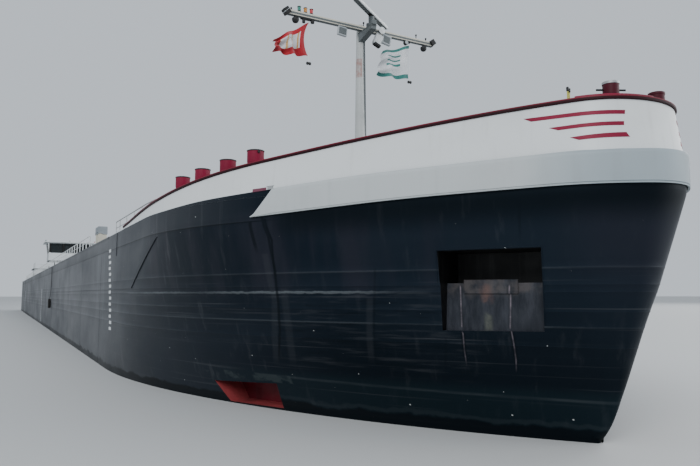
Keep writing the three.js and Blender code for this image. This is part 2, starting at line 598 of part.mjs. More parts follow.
// Rows of [height, growth] of the wheelhouse wall
const houseWall = (inset, low, high) => {
  const levels = [low, ...[HOUSE.sill].filter((z) => z > low && z < high), high];
  const grow = (z) => (z <= HOUSE.sill ? 0 : HOUSE.lean * (z - HOUSE.sill) / (HOUSE.top - HOUSE.sill));
  return loft(levels.map((z) => ring(grow(z) - inset, z)));
};
add('wheelhouse_floor', join(
  box(WHEELHOUSE_X - HOUSE.length / 2, WHEELHOUSE_X + HOUSE.length / 2, -HOUSE.width / 2, HOUSE.width / 2,
    FLOOR - 14, FLOOR - GAP),
  box(WHEELHOUSE_X - RAM.half, WHEELHOUSE_X + RAM.half, -RAM.half, RAM.half, RAM.bottom, FLOOR - 12),
), GREY);
const DOORWAY = { aft: WHEELHOUSE_X - 150, fore: WHEELHOUSE_X - 70, high: FLOOR + 225 };
const windowTools = [];
for (const y of [-180, 0, 180]) {
  windowTools.push(box(WHEELHOUSE_X + 100, WHEELHOUSE_X + 300, y - 78, y + 78, HOUSE.sill + 4, HOUSE.head));
  windowTools.push(box(WHEELHOUSE_X - 300, WHEELHOUSE_X - 100, y - 78, y + 78, HOUSE.sill + 4, HOUSE.head));
}
for (const [, side] of SIDES) {
  windowTools.push(box(WHEELHOUSE_X - 50, WHEELHOUSE_X + 60, side * 280 - 60, side * 280 + 60,
    HOUSE.sill + 4, HOUSE.head));
  windowTools.push(box(WHEELHOUSE_X + 76, WHEELHOUSE_X + 180, side * 280 - 60, side * 280 + 60,
    HOUSE.sill + 4, HOUSE.head));
  windowTools.push(box(DOORWAY.aft, DOORWAY.fore, side * 280 - 60, side * 280 + 60, FLOOR - 5,
    DOORWAY.high));
}
add('wheelhouse_walls', cut(houseWall(0, FLOOR, HOUSE.top), houseWall(HOUSE.wall, FLOOR - 5, HOUSE.top + 5),
  ...windowTools), WHITE);
const paneOuter = HOUSE.wall + GAP;
add('wheelhouse_glass', cut(houseWall(paneOuter, HOUSE.sill - 6, HOUSE.head + 5),
  houseWall(paneOuter + 4, HOUSE.sill - 12, HOUSE.head + 10),
  ...SIDES.map(([, side]) => box(DOORWAY.aft - 4, DOORWAY.fore + 4, side * 270 - 60, side * 270 + 60,
    FLOOR, DOORWAY.high + 4))), GLASS);
add('wheelhouse_roof', box(WHEELHOUSE_X - 340, WHEELHOUSE_X + 262, -338, 338, HOUSE.top + GAP,
  HOUSE.top + 15), WHITE);
for (const [name, side] of SIDES) {
  const outer = side * (HOUSE.width / 2);
  const inner = side * (HOUSE.width / 2 - HOUSE.wall);
  add(`wheelhouse_door_${name}`, box(DOORWAY.aft + 1, DOORWAY.fore - 1, Math.min(outer, inner),
    Math.max(outer, inner), FLOOR + 1, DOORWAY.high - 1), GREY);
}

// Crew house behind it: walls with windows and doorways, glass, roof and two doors
const CREW = { aft: -5350, fore: -4730, half: 430, top: DECK + 235, wall: 15, sill: DECK + 110,
  head: DECK + 190 };
const crewWindows = [];
for (const x of [-5280, -5165, -5050, -4935]) {
  crewWindows.push(box(x, x + 80, -500, 500, CREW.sill, CREW.head));
}
for (const y of [-300, -60, 180]) {
  crewWindows.push(box(CREW.aft - 50, CREW.aft + 50, y, y + 120, CREW.sill, CREW.head));
}
const CREW_DOOR = { aft: -4835, fore: -4755, high: DECK + 205 };
for (const [, side] of SIDES) {
  crewWindows.push(box(CREW_DOOR.aft, CREW_DOOR.fore, side * CREW.half - 50, side * CREW.half + 50,
    DECK - 5, CREW_DOOR.high));
}
add('crew_house_walls', cut(
  box(CREW.aft, CREW.fore, -CREW.half, CREW.half, DECK + GAP, CREW.top),
  box(CREW.aft + CREW.wall, CREW.fore - CREW.wall, -CREW.half + CREW.wall, CREW.half - CREW.wall,
    DECK - 5, CREW.top + 5),
  ...crewWindows,
), WHITE);
const pane = CREW.wall + GAP;
add('crew_house_glass', cut(
  box(CREW.aft + pane, CREW.fore - pane, -CREW.half + pane, CREW.half - pane, CREW.sill - 8,
    CREW_DOOR.high + 12),
  box(CREW.aft + pane + 4, CREW.fore - pane - 4, -CREW.half + pane + 4, CREW.half - pane - 4,
    CREW.sill - 20, CREW_DOOR.high + 20),
  ...SIDES.map(([, side]) => box(CREW_DOOR.aft - 5, CREW_DOOR.fore + 5, side * CREW.half - 50,
    side * CREW.half + 50, DECK, CREW_DOOR.high + 3)),
), GLASS);
add('crew_house_roof', box(CREW.aft - 15, CREW.fore + 10, -CREW.half - 20, CREW.half + 20, CREW.top + GAP,
  CREW.top + 12), GREY);
for (const [name, side] of SIDES) {
  const outer = side * CREW.half;
  const inner = side * (CREW.half - CREW.wall);
  add(`crew_house_door_${name}`, box(CREW_DOOR.aft + 1, CREW_DOOR.fore - 1, Math.min(outer, inner),
    Math.max(outer, inner), DECK + 2, CREW_DOOR.high - 1), GREY);
}

// Boom at the stern that swings a dinghy or stores outboard
const BOOM = { x: -5430, y: -300, z: DECK + 130 };
add('stern_boom', join(
  rod(v(BOOM.x, BOOM.y, DECK + GAP), v(BOOM.x, BOOM.y, BOOM.z + 34), 8, 14),
  rod(v(BOOM.x, BOOM.y, BOOM.z + 24), v(BOOM.x, BOOM.y + 300, BOOM.z + 60), 5, 12),
), WHITE);

// Fender hung over the starboard side, and the locker on the side deck
const FENDER = { x: 1130, radius: 9, low: WATER + 155, high: WATER + 220 };
for (const [name, side] of SIDES) {
  const y = side * (HALF + FENDER.radius + 1);
  add(`side_fender_${name}`, join(
    rod(v(FENDER.x, y, FENDER.low), v(FENDER.x, y, FENDER.high), FENDER.radius, 16),
    rod(v(FENDER.x, y, FENDER.high - 10), v(FENDER.x, side * (HALF + 2.2), EDGE - 4), 1.6, 8),
  ), RUBBER);
}
const LOCKER = { aft: 3210, fore: 3297, outer: -550, inner: -512, top: WATER + 535 };
add('deck_locker', box(LOCKER.aft, LOCKER.fore, LOCKER.outer, LOCKER.inner, DECK + GAP, LOCKER.top), CREAM);

export default parts;
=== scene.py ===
"""River barge, 1:10 scale model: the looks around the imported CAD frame.

X runs forward, Y to port and Z up, with the origin on the flat bottom amidships, and the floor lies at the
waterline. Sizes of shapes are in millimetres of the model, so 100 mm stand for one metre of the ship, and
piece() turns them into metres. Materials work in metres.
"""

import json
import random
from math import acos, asin, cos, pi, radians, sin, sqrt, tan

import bmesh
import bpy
from mathutils import Matrix, Vector


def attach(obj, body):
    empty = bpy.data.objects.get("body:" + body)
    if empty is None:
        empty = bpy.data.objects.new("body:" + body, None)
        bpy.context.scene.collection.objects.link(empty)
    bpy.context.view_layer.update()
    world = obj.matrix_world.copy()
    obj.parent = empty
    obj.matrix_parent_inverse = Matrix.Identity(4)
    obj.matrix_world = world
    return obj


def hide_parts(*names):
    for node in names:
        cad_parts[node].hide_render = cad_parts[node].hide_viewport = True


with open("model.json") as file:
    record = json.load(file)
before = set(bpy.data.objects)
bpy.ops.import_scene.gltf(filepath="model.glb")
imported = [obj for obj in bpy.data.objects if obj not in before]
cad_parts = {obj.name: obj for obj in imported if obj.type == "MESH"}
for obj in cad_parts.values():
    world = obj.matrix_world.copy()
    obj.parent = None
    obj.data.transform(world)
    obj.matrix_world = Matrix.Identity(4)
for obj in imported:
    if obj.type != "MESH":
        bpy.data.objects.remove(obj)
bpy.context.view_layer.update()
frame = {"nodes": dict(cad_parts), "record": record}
SCENE = bpy.context.scene

# Driving dimensions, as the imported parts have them
MM = 0.001
HALF = 572.5
WATER = 110
DECK = 510
EDGE = 561
FOREDECK = 560
HOLD_AFT = -3900
HOLD_FORE = 3770
HOLD_HALF = 490
COAMING_TOP = 570
BOW = 5493
STERN = -5500
BILGE = 40
GAP = 0.3
WELD = 2e-6
SIDES = (("starboard", -1), ("port", 1))


def camera():
    """The photograph's eye: standing on the quay ahead of the bow, looking aft along the starboard side."""
    eye = Vector((6.111, -0.9025, 0.36))
    heading = radians(28.85)
    pitch = radians(5.52)
    focal_px = 636.0
    frame_px = 700.0
    data = bpy.data.cameras.new("photo_camera")
    data.sensor_width = 36.0
    data.lens = data.sensor_width * focal_px / frame_px
    data.clip_start = 0.01
    data.clip_end = 200.0
    look = Vector((
        -cos(heading) * cos(pitch),
        sin(heading) * cos(pitch),
        sin(pitch),
    ))
    eye_object = bpy.data.objects.new("photo_camera", data)
    eye_object.location = eye
    eye_object.rotation_euler = look.to_track_quat("-Z", "Y").to_euler()
    SCENE.collection.objects.link(eye_object)
    SCENE.camera = eye_object


def stage():
    """A pale floor at the waterline, an overcast sky and three large soft lights."""
    bpy.ops.mesh.primitive_plane_add(size=160, location=(0, 0, WATER * MM))
    floor = bpy.context.object
    floor.name = "floor"
    material = bpy.data.materials.new("floor")
    material.use_nodes = True
    shader = material.node_tree.nodes["Principled BSDF"]
    shader.inputs["Base Color"].default_value = (0.55, 0.56, 0.56, 1)
    shader.inputs["Roughness"].default_value = 0.7
    floor.data.materials.append(material)
    world = bpy.data.worlds.new("overcast")
    world.use_nodes = True
    world.node_tree.nodes["Background"].inputs["Color"].default_value = (0.72, 0.78, 0.85, 1)
    world.node_tree.nodes["Background"].inputs["Strength"].default_value = 0.9
    SCENE.world = world
    for name, place, aim, size, power in (
        ("key", (14, -10, 9), (3, 0, 0.4), 8, 1500),
        ("fill", (2, 14, 8), (0, 0, 0.4), 10, 900),
        ("bow", (12, 10, 3), (5.3, 0, 0.5), 6, 600),
    ):
        data = bpy.data.lights.new(name, "AREA")
        data.size = size
        data.energy = power
        light = bpy.data.objects.new(name, data)
        light.location = place
        light.rotation_euler = (Vector(aim) - Vector(place)).to_track_quat("-Z", "Y").to_euler()
        SCENE.collection.objects.link(light)


class Finish:
    """A surface: a Principled shader whose colour, roughness and relief come from nodes."""

    def __init__(self, name, roughness=0.5, metallic=0.0, specular=0.5):
        self.material = bpy.data.materials.new(name)
        self.material.use_nodes = True
        self.nodes = self.material.node_tree.nodes
        self.links = self.material.node_tree.links
        self.shader = self.nodes["Principled BSDF"]
        self.shader.inputs["Roughness"].default_value = roughness
        self.shader.inputs["Metallic"].default_value = metallic
        self.shader.inputs["Specular IOR Level"].default_value = specular
        self.colour = (0.0, 0.0, 0.0)
        self.place = self.nodes.new("ShaderNodeTexCoord").outputs["Object"]
        self.x, self.y, self.z = self.node("SeparateXYZ", {0: self.place}).outputs

    def put(self, socket, value):
        """Set a socket to a number or a row of numbers, or join another node's output to it."""
        if isinstance(value, bpy.types.NodeSocket):
            self.links.new(value, socket)
        elif isinstance(value, tuple):
            socket.default_value = (*value, 1)[:len(socket.default_value)]
        else:
            socket.default_value = value

    def node(self, kind, inputs, **settings):
        """A new node of a kind, with its settings and with its inputs by name or number."""
        node = self.nodes.new(f"ShaderNode{kind}")
        for name, value in settings.items():
            setattr(node, name, value)
        for socket, value in inputs.items():
            self.put(node.inputs[socket], value)
        return node

    def calc(self, operation, a, b=0.0):
        return self.node("Math", {0: a, 1: b}, operation=operation).outputs[0]

    def product(self, first, *rest):
        """All the values multiplied, from the first on."""
        for value in rest:
            first = self.calc("MULTIPLY", first, value)
        return first

    def ramp(self, value, low, high, least=0.0, most=1.0, kind="SMOOTHSTEP"):
        """A step from least at low to most at high, soft at both ends unless its kind is LINEAR."""
        inputs = {"Value": value, "From Min": low, "From Max": high, "To Min": least, "To Max": most}
        return self.node("MapRange", inputs, interpolation_type=kind).outputs[0]

    def mix(self, share, a, b):
        return self.node("Mix", {0: share, 6: a, 7: b}, data_type="RGBA").outputs[2]

    def coat(self, colour, *shares):
        """Lay a colour over what is there, by the product of its shares."""
        self.colour = self.mix(self.product(*shares), self.colour, colour)

    def noise(self, scale=1.0, detail=4.0, stretch=(1, 1, 1), rough=0.55):
        place = self.node("VectorMath", {0: self.place, 1: stretch}, operation="MULTIPLY").outputs[0]
        inputs = {"Scale": scale, "Detail": detail, "Roughness": rough, "Vector": place}
        return self.node("TexNoise", inputs).outputs[0]

    def chips(self, scale, size, share):
        """Small round spots in some of the cells of a scattered grid over X and Z."""
        flat = self.node("CombineXYZ", {0: self.x, 1: self.z}).outputs[0]
        cells = self.node("TexVoronoi", {"Scale": scale, "Vector": flat}, voronoi_dimensions="2D")
        split = self.node("SeparateColor", {0: cells.outputs["Color"]}).outputs
        spot = self.calc("LESS_THAN", cells.outputs["Distance"], self.product(split[1], size))
        return self.product(spot, self.calc("LESS_THAN", split[0], share))

    def near(self, value, centre, core, edge):
        """One within core of the centre, fading to nothing at edge."""
        away = self.calc("ABSOLUTE", self.calc("SUBTRACT", value, centre))
        return self.ramp(away, core, edge, 1.0, 0.0)

    def trail(self, path, width, fade=0.03):
        """A mark on the side along a path of (x, z) points from its top down, fading at its ends."""
        centre = path[0][0]
        for (x0, z0), (x1, z1) in zip(path, path[1:]):
            centre = self.calc("ADD", centre, self.ramp(self.z, z1, z0, x1 - x0, 0.0, "LINEAR"))
        across = self.near(self.calc("SUBTRACT", self.x, centre), 0.0, width * 0.35, width)
        top, foot = path[0][1], path[-1][1]
        low_end = self.ramp(self.z, foot, foot + fade)
        high_end = self.ramp(self.z, top, top + 0.006, 1.0, 0.0)
        return self.product(across, self.product(low_end, high_end))

    def window(self, value, low, high, soft):
        """One between low and high, fading over soft outside them."""
        return self.product(self.ramp(value, low - soft, low), self.ramp(value, high, high + soft, 1.0, 0.0))

    def relief(self, height, depth, strength=1.0):
        bump = self.node("Bump", {"Strength": strength, "Distance": depth, "Height": height})
        self.put(self.shader.inputs["Normal"], bump.outputs[0])

    def done(self, marks=None, least=0.0, most=1.0, low=0.3, high=0.7):
        """The material; its roughness goes from least to most as the marks go from low to high."""
        self.put(self.shader.inputs["Base Color"], self.colour)
        if marks is not None:
            self.put(self.shader.inputs["Roughness"], self.ramp(marks, low, high, least, most))
        return self.material


# Weld seams along the side: height in millimetres above the flat bottom, then how strongly the pale line
# shows and from where to where along the hull, in metres
SEAMS = {
    510: (0.0, 0.0, 0.0),
    403: (0.24, 4.2, 5.35),
    376: (0.0, 0.0, 0.0),
    364: (1.0, 4.3, 5.0),
    332: (0.30, 3.9, 4.46),
    306: (0.32, 2.4, 5.36),
    273: (0.22, 4.03, 4.43),
}
SEAM_HALF = 1.4
TIDE = {"aft": (4.84, 0.1875), "fore": (5.39, 0.1816)}
DARK_TRAILS = (
    (((4.8644, 0.5067), (4.8721, 0.4375)), 0.006, 0.8),
    (((4.8921, 0.5158), (4.9041, 0.4768), (4.9054, 0.4094), (4.8941, 0.342), (4.8791, 0.2869),
      (4.8455, 0.2119)), 0.0045, 0.75),
    (((4.8992, 0.511), (4.9106, 0.4698), (4.9009, 0.3832)), 0.0035, 0.85),
    (((5.0998, 0.405), (5.0593, 0.2208)), 0.003, 0.3),
    (((5.351, 0.512), (5.334, 0.441)), 0.003, 0.3),
    (((5.187, 0.279), (5.170, 0.206)), 0.003, 0.3),
)
PALE_BANDS = (
    (((4.889, 0.440), (4.888, 0.349), (4.837, 0.205)), 0.011),
    (((4.9156, 0.369), (4.901, 0.288), (4.881, 0.208)), 0.012),
    (((5.080, 0.350), (5.051, 0.224)), 0.008),
)
DRIPS = (
    ((5.2149, 0.2906), (5.2104, 0.2622), (5.2069, 0.2301)),
    ((5.2853, 0.2981), (5.283, 0.2741), (5.2794, 0.2482), (5.274, 0.2237)),
)
FAR_RUNS = (((3.522, 0.541), (3.5226, 0.30)), ((3.683, 0.50), (3.683, 0.234)))
WORN_PATCHES = ((4.595, 4.648, 0.172, 0.180), (4.672, 4.732, 0.172, 0.186), (4.76, 4.86, 0.174, 0.188))


def hull_paint():
    """Near-black navy with faded panels, rain runs, rubbed lines, pale seams, chips and a damp foot, with
    painted light laid in: a painted sky reflection round the nose, painted sky sheen in the dusty stern end,
    and painted shade low on the bow, under the belt and along the deck seam.
    """
    # A pale grey for real dust, runs and rubbed lines, and for painted sky sheen towards the stern.
    dust_and_sky_sheen = (0.105, 0.108, 0.115)
    pale = (0.17, 0.19, 0.20)
    plum = (0.0135, 0.0135, 0.0200)
    # A near-black for real wet marks, trails and the damp foot, and for painted shade on the bow.
    wet_and_painted_shade = (0.0006, 0.0013, 0.0022)
    finish = Finish("hull_navy", specular=0.15)
    finish.shader.inputs["Specular Tint"].default_value = (0.55, 0.78, 1.0, 1)
    x, z = finish.x, finish.z
    ramp, window, noise, product = finish.ramp, finish.window, finish.noise, finish.product

    # Panels, from faded to nearly black, and the dust towards the stern, which is partly painted sky sheen;
    # with the painted sky reflection round the nose and painted shade low on the bow and under the belt
    aft = ramp(x, 4.75, 3.1)
    patches = noise(1.5, detail=5, stretch=(1, 1, 2.2))
    finish.colour = (0.0022, 0.0048, 0.0092)
    finish.coat((0.0075, 0.0115, 0.0180), ramp(patches, 0.38, 0.68))
    # Painted sky reflection: the nose below the belt is painted lighter and plum-tinted.
    finish.coat(plum, product(ramp(x, 5.36, 5.46), ramp(z, 0.30, 0.45)), 0.7)
    # Painted shade: the bow is painted darker towards its bottom.
    finish.coat(wet_and_painted_shade, product(ramp(z, 0.40, 0.22), ramp(x, 4.7, 5.1)), 0.7)
    wide = ramp(noise(detail=3, stretch=(11, 11, 0.5)), 0.40, 0.66)
    finish.coat(plum, wide, product(window(z, 0.385, 0.50, 0.05), window(x, 4.5, 5.15, 0.15)), 0.8)
    # Dust towards the stern, painted brighter than dust alone as painted sky sheen on the far side.
    finish.coat(dust_and_sky_sheen, aft, ramp(noise(detail=5, stretch=(5, 5, 9)), 0.3, 0.75, 0.50, 0.92))
    finish.coat(dust_and_sky_sheen, product(ramp(z, 0.5095, 0.5115), ramp(x, 4.95, 4.6)), 0.16)
    # Painted shadow under the belt: the hull just below it is painted darker.
    finish.coat(wet_and_painted_shade, product(ramp(z, 0.460, 0.512), ramp(x, 4.86, 4.98)), 0.95)

    # Rain runs, rubbed lines and the brushed stretch below the belt's aft end
    runs = ramp(noise(detail=6, stretch=(52, 52, 1.8)), 0.55, 0.78)
    finish.coat(dust_and_sky_sheen, runs, ramp(noise(2.3, detail=2), 0.4, 0.62), ramp(x, 5.1, 4.4, 0.10, 0.5))
    rubs = ramp(noise(detail=7, stretch=(1.6, 1.6, 150)), 0.58, 0.76)
    finish.coat(dust_and_sky_sheen, rubs, ramp(z, 0.42, 0.34), 0.30)
    brushed = noise(detail=5, stretch=(9, 9, 120))
    worn = product(window(x, 4.90, 5.20, 0.05), window(z, 0.22, 0.36, 0.02))
    finish.coat(dust_and_sky_sheen, ramp(brushed, 0.52, 0.70), worn, 0.12)
    finish.coat(wet_and_painted_shade, ramp(brushed, 0.46, 0.32), worn, 0.5)
    finish.coat((0.006, 0.016, 0.020), product(ramp(z, 0.21, 0.185), ramp(x, 4.5, 4.9)), 0.35)

    # Seams
    broken = noise(detail=5, stretch=(5, 5, 5))
    crusty = noise(detail=5, stretch=(60, 60, 160))
    for seam, (strength, start, stop) in SEAMS.items():
        if strength:
            thick = 0.0012 if strength == 1 else 0.0004
            shift = product(finish.calc("SUBTRACT", crusty, 0.5), 0.006 * strength)
            line = finish.near(finish.calc("ADD", z, shift), seam * MM, thick, thick + 0.0022)
            gaps = ramp(broken, 0.36, 0.58, 0.25, 1.0)
            finish.coat(pale, line, gaps, window(x, start, stop, 0.22), strength * 0.42)
    finish.coat(wet_and_painted_shade, product(finish.near(z, 0.3765, 0.0012, 0.003), ramp(x, 4.3, 4.2)), 0.6)
    # Painted shadow: a dark line along the deck seam aft of the belt, under the bead there.
    finish.coat(wet_and_painted_shade, product(finish.near(z, 0.510, 0.0006, 0.0022), ramp(x, 4.95, 4.85)), 0.85)

    # The tide's line, worn patches, trails, drips and chips
    (aft_x, aft_z), (fore_x, fore_z) = TIDE["aft"], TIDE["fore"]
    slope = (fore_z - aft_z) / (fore_x - aft_x)
    tide = finish.calc("SUBTRACT", z, product(x, slope))
    tide_line = finish.near(tide, aft_z - slope * aft_x, 0.0004, 0.0042)
    finish.coat(pale, tide_line, ramp(brushed, 0.35, 0.65, 0.3, 1.0), ramp(x, 4.80, 4.86), 0.11)
    scuffs = ramp(noise(detail=5, stretch=(30, 30, 60)), 0.42, 0.56)
    for x0, x1, z0, z1 in WORN_PATCHES:
        finish.coat((0.15, 0.18, 0.17), window(x, x0, x1, 0.006), window(z, z0, z1, 0.003), scuffs, 0.12)
    for path, width in PALE_BANDS:
        finish.coat(dust_and_sky_sheen, finish.trail(path, width), 0.07)
    for path in FAR_RUNS:
        finish.coat((0.20, 0.26, 0.28), finish.trail(path, 0.012), 0.12)
    for path, width, strength in DARK_TRAILS:
        finish.coat(wet_and_painted_shade, finish.trail(path, width), strength)
    dashes = ramp(noise(detail=5, stretch=(3, 3, 70)), 0.30, 0.62, 0.25, 1.0)
    for path in DRIPS:
        finish.coat(wet_and_painted_shade, finish.trail(path, 0.005), 0.6)
        finish.coat((0.20, 0.17, 0.19), finish.trail(path, 0.0014), dashes, 0.45)
    finish.coat((0.42, 0.44, 0.43), finish.chips(13.0, 0.018, 0.5), 0.8)

    # The wet foot with its ragged edge
    ragged = finish.calc("ADD", z, product(noise(18, detail=5), -0.030))
    finish.coat(pale, finish.near(ragged, 0.124, 0.002, 0.006), ramp(x, 4.5, 4.9), 0.035)
    finish.coat(wet_and_painted_shade, ramp(ragged, 0.121, 0.115), 0.95)
    finish.relief(finish.calc("ADD", broken, product(noise(60, detail=3), 0.15)), 0.0012, 0.5)
    return finish.done(patches, 0.38, 0.52)


def painted(name, base, grime, amount, runs, roughness, metallic=0.0, specular=0.4, relief=0.0002):
    """Brushed or sprayed paint with cloudy grime, runs down its sides and a slight orange peel."""
    finish = Finish(name, roughness, metallic, specular)
    finish.colour = base
    clouds = finish.noise(7, detail=6)
    finish.coat(grime, finish.ramp(clouds, 0.45, 0.75), amount)
    finish.coat(grime, finish.ramp(finish.noise(detail=5, stretch=(75, 75, 4)), 0.55, 0.8), runs)
    finish.relief(finish.noise(140, detail=3), relief, 0.6)
    return finish.done(clouds, roughness - 0.07, roughness + 0.09)


def belt_paint():
    """Pale grey belt paint with soft runs, painted a little darker and bluer round the tip as painted shade,
    so that the flank reads as the lit side.
    """
    finish = Finish("belt_grey", specular=0.25)
    finish.colour = (0.47, 0.505, 0.515)
    # Painted shade: darker and bluer towards the tip, lighter along the flank.
    finish.coat((0.30, 0.355, 0.385), finish.ramp(finish.x, 5.33, 5.47))
    clouds = finish.noise(7, detail=6)
    finish.coat((0.26, 0.28, 0.285), finish.ramp(clouds, 0.45, 0.75), 0.2)
    finish.coat((0.24, 0.26, 0.27), finish.ramp(finish.noise(detail=5, stretch=(40, 40, 3)), 0.5, 0.8), 0.16)
    finish.relief(finish.noise(140, detail=3), 0.0002, 0.6)
    return finish.done(clouds, 0.43, 0.58)


def deck_paint():
    """Grey deck paint with gritty non-slip, worn tracks and rust that bleeds from small chips."""
    finish = Finish("deck_grey", specular=0.3)
    clouds = finish.noise(4, detail=6)
    finish.colour = (0.16, 0.175, 0.18)
    finish.coat((0.24, 0.25, 0.25), finish.ramp(clouds, 0.4, 0.7))
    finish.coat((0.10, 0.105, 0.10), finish.ramp(finish.noise(detail=5, stretch=(2, 14, 2)), 0.58, 0.75), 0.5)
    finish.coat((0.17, 0.075, 0.04), finish.ramp(finish.noise(16, detail=6), 0.68, 0.78), 0.6)
    finish.relief(finish.noise(420, detail=2), 0.0006, 0.8)
    return finish.done(clouds, 0.6, 0.85)


def aluminium():
    """Weathered aluminium plate: dull oxide clouds, rain runs and faint rolling lines."""
    finish = Finish("cover_aluminium", metallic=0.55, specular=0.5)
    clouds = finish.noise(3.5, detail=6)
    finish.colour = (0.40, 0.42, 0.43)
    finish.coat((0.56, 0.57, 0.57), finish.ramp(clouds, 0.38, 0.68))
    runs = finish.noise(detail=6, stretch=(45, 3.5, 3.5))
    finish.coat((0.26, 0.26, 0.25), finish.ramp(runs, 0.56, 0.76), 0.4)
    finish.relief(finish.noise(detail=3, stretch=(30, 300, 300)), 0.0001, 0.5)
    return finish.done(clouds, 0.36, 0.56)


def glass():
    """Dark tinted panes that reflect the sky, with a trace of dried rain."""
    finish = Finish("window_glass", specular=0.6)
    finish.shader.inputs["Transmission Weight"].default_value = 0.45
    marks = finish.noise(40, detail=5)
    finish.colour = (0.020, 0.028, 0.032)
    finish.coat((0.05, 0.06, 0.065), finish.ramp(marks, 0.55, 0.8))
    return finish.done(marks, 0.04, 0.14, 0.5, 0.8)


def cloth(name, base, shade):
    """Woven bunting: two crossed thread waves as relief, and soft fading."""
    finish = Finish(name, 0.85, specular=0.2)
    finish.shader.inputs["Sheen Weight"].default_value = 0.25
    finish.colour = base
    finish.coat(shade, finish.ramp(finish.noise(25, detail=4), 0.35, 0.7))
    threads = {"Scale": 260, "Vector": finish.place}
    waves = [finish.node("TexWave", threads, bands_direction=way).outputs["Fac"] for way in ("Y", "Z")]
    finish.relief(finish.calc("MAXIMUM", *waves), 0.0002, 0.6)
    return finish.done()


def recess_paint(name, base):
    """Paint in the pockets of the side: damp, streaked and scraped."""
    finish = Finish(name, specular=0.3)
    clouds = finish.noise(14, detail=5)
    finish.colour = base
    finish.coat(tuple(c * 0.55 for c in base), finish.ramp(clouds, 0.35, 0.7))
    streaks = finish.ramp(finish.noise(detail=5, stretch=(90, 90, 7)), 0.5, 0.75)
    finish.coat(tuple(c * 0.4 + 0.03 for c in base), streaks, 0.35)
    finish.relief(finish.noise(120, detail=3), 0.0003, 0.6)
    return finish.done(clouds, 0.42, 0.62)


PLATE_DRIPS = (
    ((5.2026, 0.372), (5.2018, 0.340), (5.2010, 0.300)),
    ((5.2793, 0.372), (5.2775, 0.340), (5.2746, 0.300)),
)


def anchor_plate():
    """The chafed plate under the anchor pocket: grey scrapes, a rust spot and two long pale drips."""
    finish = Finish("anchor_plate", specular=0.2)
    ramp, near, product = finish.ramp, finish.near, finish.product
    scrapes = finish.noise(detail=7, stretch=(34, 34, 9), rough=0.7)
    finish.colour = (0.009, 0.0120, 0.018)
    finish.coat((0.046, 0.050, 0.062), ramp(scrapes, 0.35, 0.75))
    finish.coat((0.008, 0.011, 0.016), product(ramp(finish.z, 0.345, 0.305), ramp(finish.x, 5.24, 5.32)), 0.6)
    patchy = finish.noise(45, detail=6)
    ragged = finish.calc("ADD", finish.z, product(finish.calc("SUBTRACT", patchy, 0.5), 0.030))
    finish.coat((0.105, 0.090, 0.085), product(ramp(ragged, 0.352, 0.372), ramp(patchy, 0.30, 0.62)), 0.45)
    bloom = product(near(finish.x, 5.243, 0.001, 0.014), finish.window(ragged, 0.350, 0.374, 0.008))
    finish.coat((0.15, 0.075, 0.055), bloom, ramp(patchy, 0.3, 0.6), 0.5)
    olive = product(near(finish.x, 5.243, 0.001, 0.009), finish.window(ragged, 0.296, 0.322, 0.010))
    finish.coat((0.15, 0.16, 0.12), olive, ramp(patchy, 0.3, 0.6), 0.4)
    dashes = ramp(finish.noise(detail=5, stretch=(3, 3, 70)), 0.30, 0.62, 0.25, 1.0)
    for path in PLATE_DRIPS:
        finish.coat((0.01, 0.012, 0.016), finish.trail(path, 0.005, 0.004), 0.4)
        finish.coat((0.26, 0.22, 0.25), finish.trail(path, 0.0016, 0.004), dashes, 0.5)
    finish.relief(scrapes, 0.001, 0.6)
    return finish.done(scrapes, 0.45, 0.65)


def mast_paint():
    """Greyish white mast paint with a scraped pink patch on its starboard side and fine runs."""
    finish = Finish("mast_paint", specular=0.3)
    clouds = finish.noise(9, detail=6)
    finish.colour = (0.44, 0.46, 0.46)
    finish.coat((0.34, 0.36, 0.355), finish.ramp(clouds, 0.4, 0.75))
    finish.coat((0.22, 0.20, 0.17), finish.ramp(finish.noise(detail=5, stretch=(90, 90, 4)), 0.5, 0.8), 0.3)
    band = finish.near(finish.z, 1.0195, 0.026, 0.030)
    finish.coat((0.33, 0.19, 0.17), band, finish.ramp(finish.y, 0.001, -0.001),
                finish.ramp(finish.noise(55, detail=4), 0.34, 0.55, 0.3, 0.85))
    finish.relief(finish.noise(140, detail=3), 0.0002, 0.6)
    return finish.done(clouds, 0.4, 0.55)


GRIME = (0.20, 0.19, 0.165)
SOOT = (0.02, 0.02, 0.02)
NAVY = hull_paint()
WHITE = painted("white_paint", (0.66, 0.69, 0.70), GRIME, 0.10, 0.10, 0.42)
BELT = belt_paint()
MAROON = painted("maroon_paint", (0.024, 0.0024, 0.0055), SOOT, 0.3, 0.2, 0.55, specular=0.15)
CRIMSON = painted("crimson_paint", (0.215, 0.007, 0.034), (0.08, 0.004, 0.014), 0.4, 0.3, 0.5, specular=0.2)
WINE = painted("wine_paint", (0.060, 0.004, 0.012), (0.03, 0.003, 0.006), 0.4, 0.35, 0.5, specular=0.2)
PORT_PINK = painted("port_pink", (0.15, 0.045, 0.070), (0.05, 0.012, 0.02), 0.5, 0.35, 0.5, specular=0.2)
RAIL_RED = painted("rail_red", (0.17, 0.010, 0.026), (0.07, 0.005, 0.012), 0.4, 0.2, 0.5, specular=0.2)
MAST_PAINT = mast_paint()
RED = recess_paint("red_paint", (0.36, 0.060, 0.065))
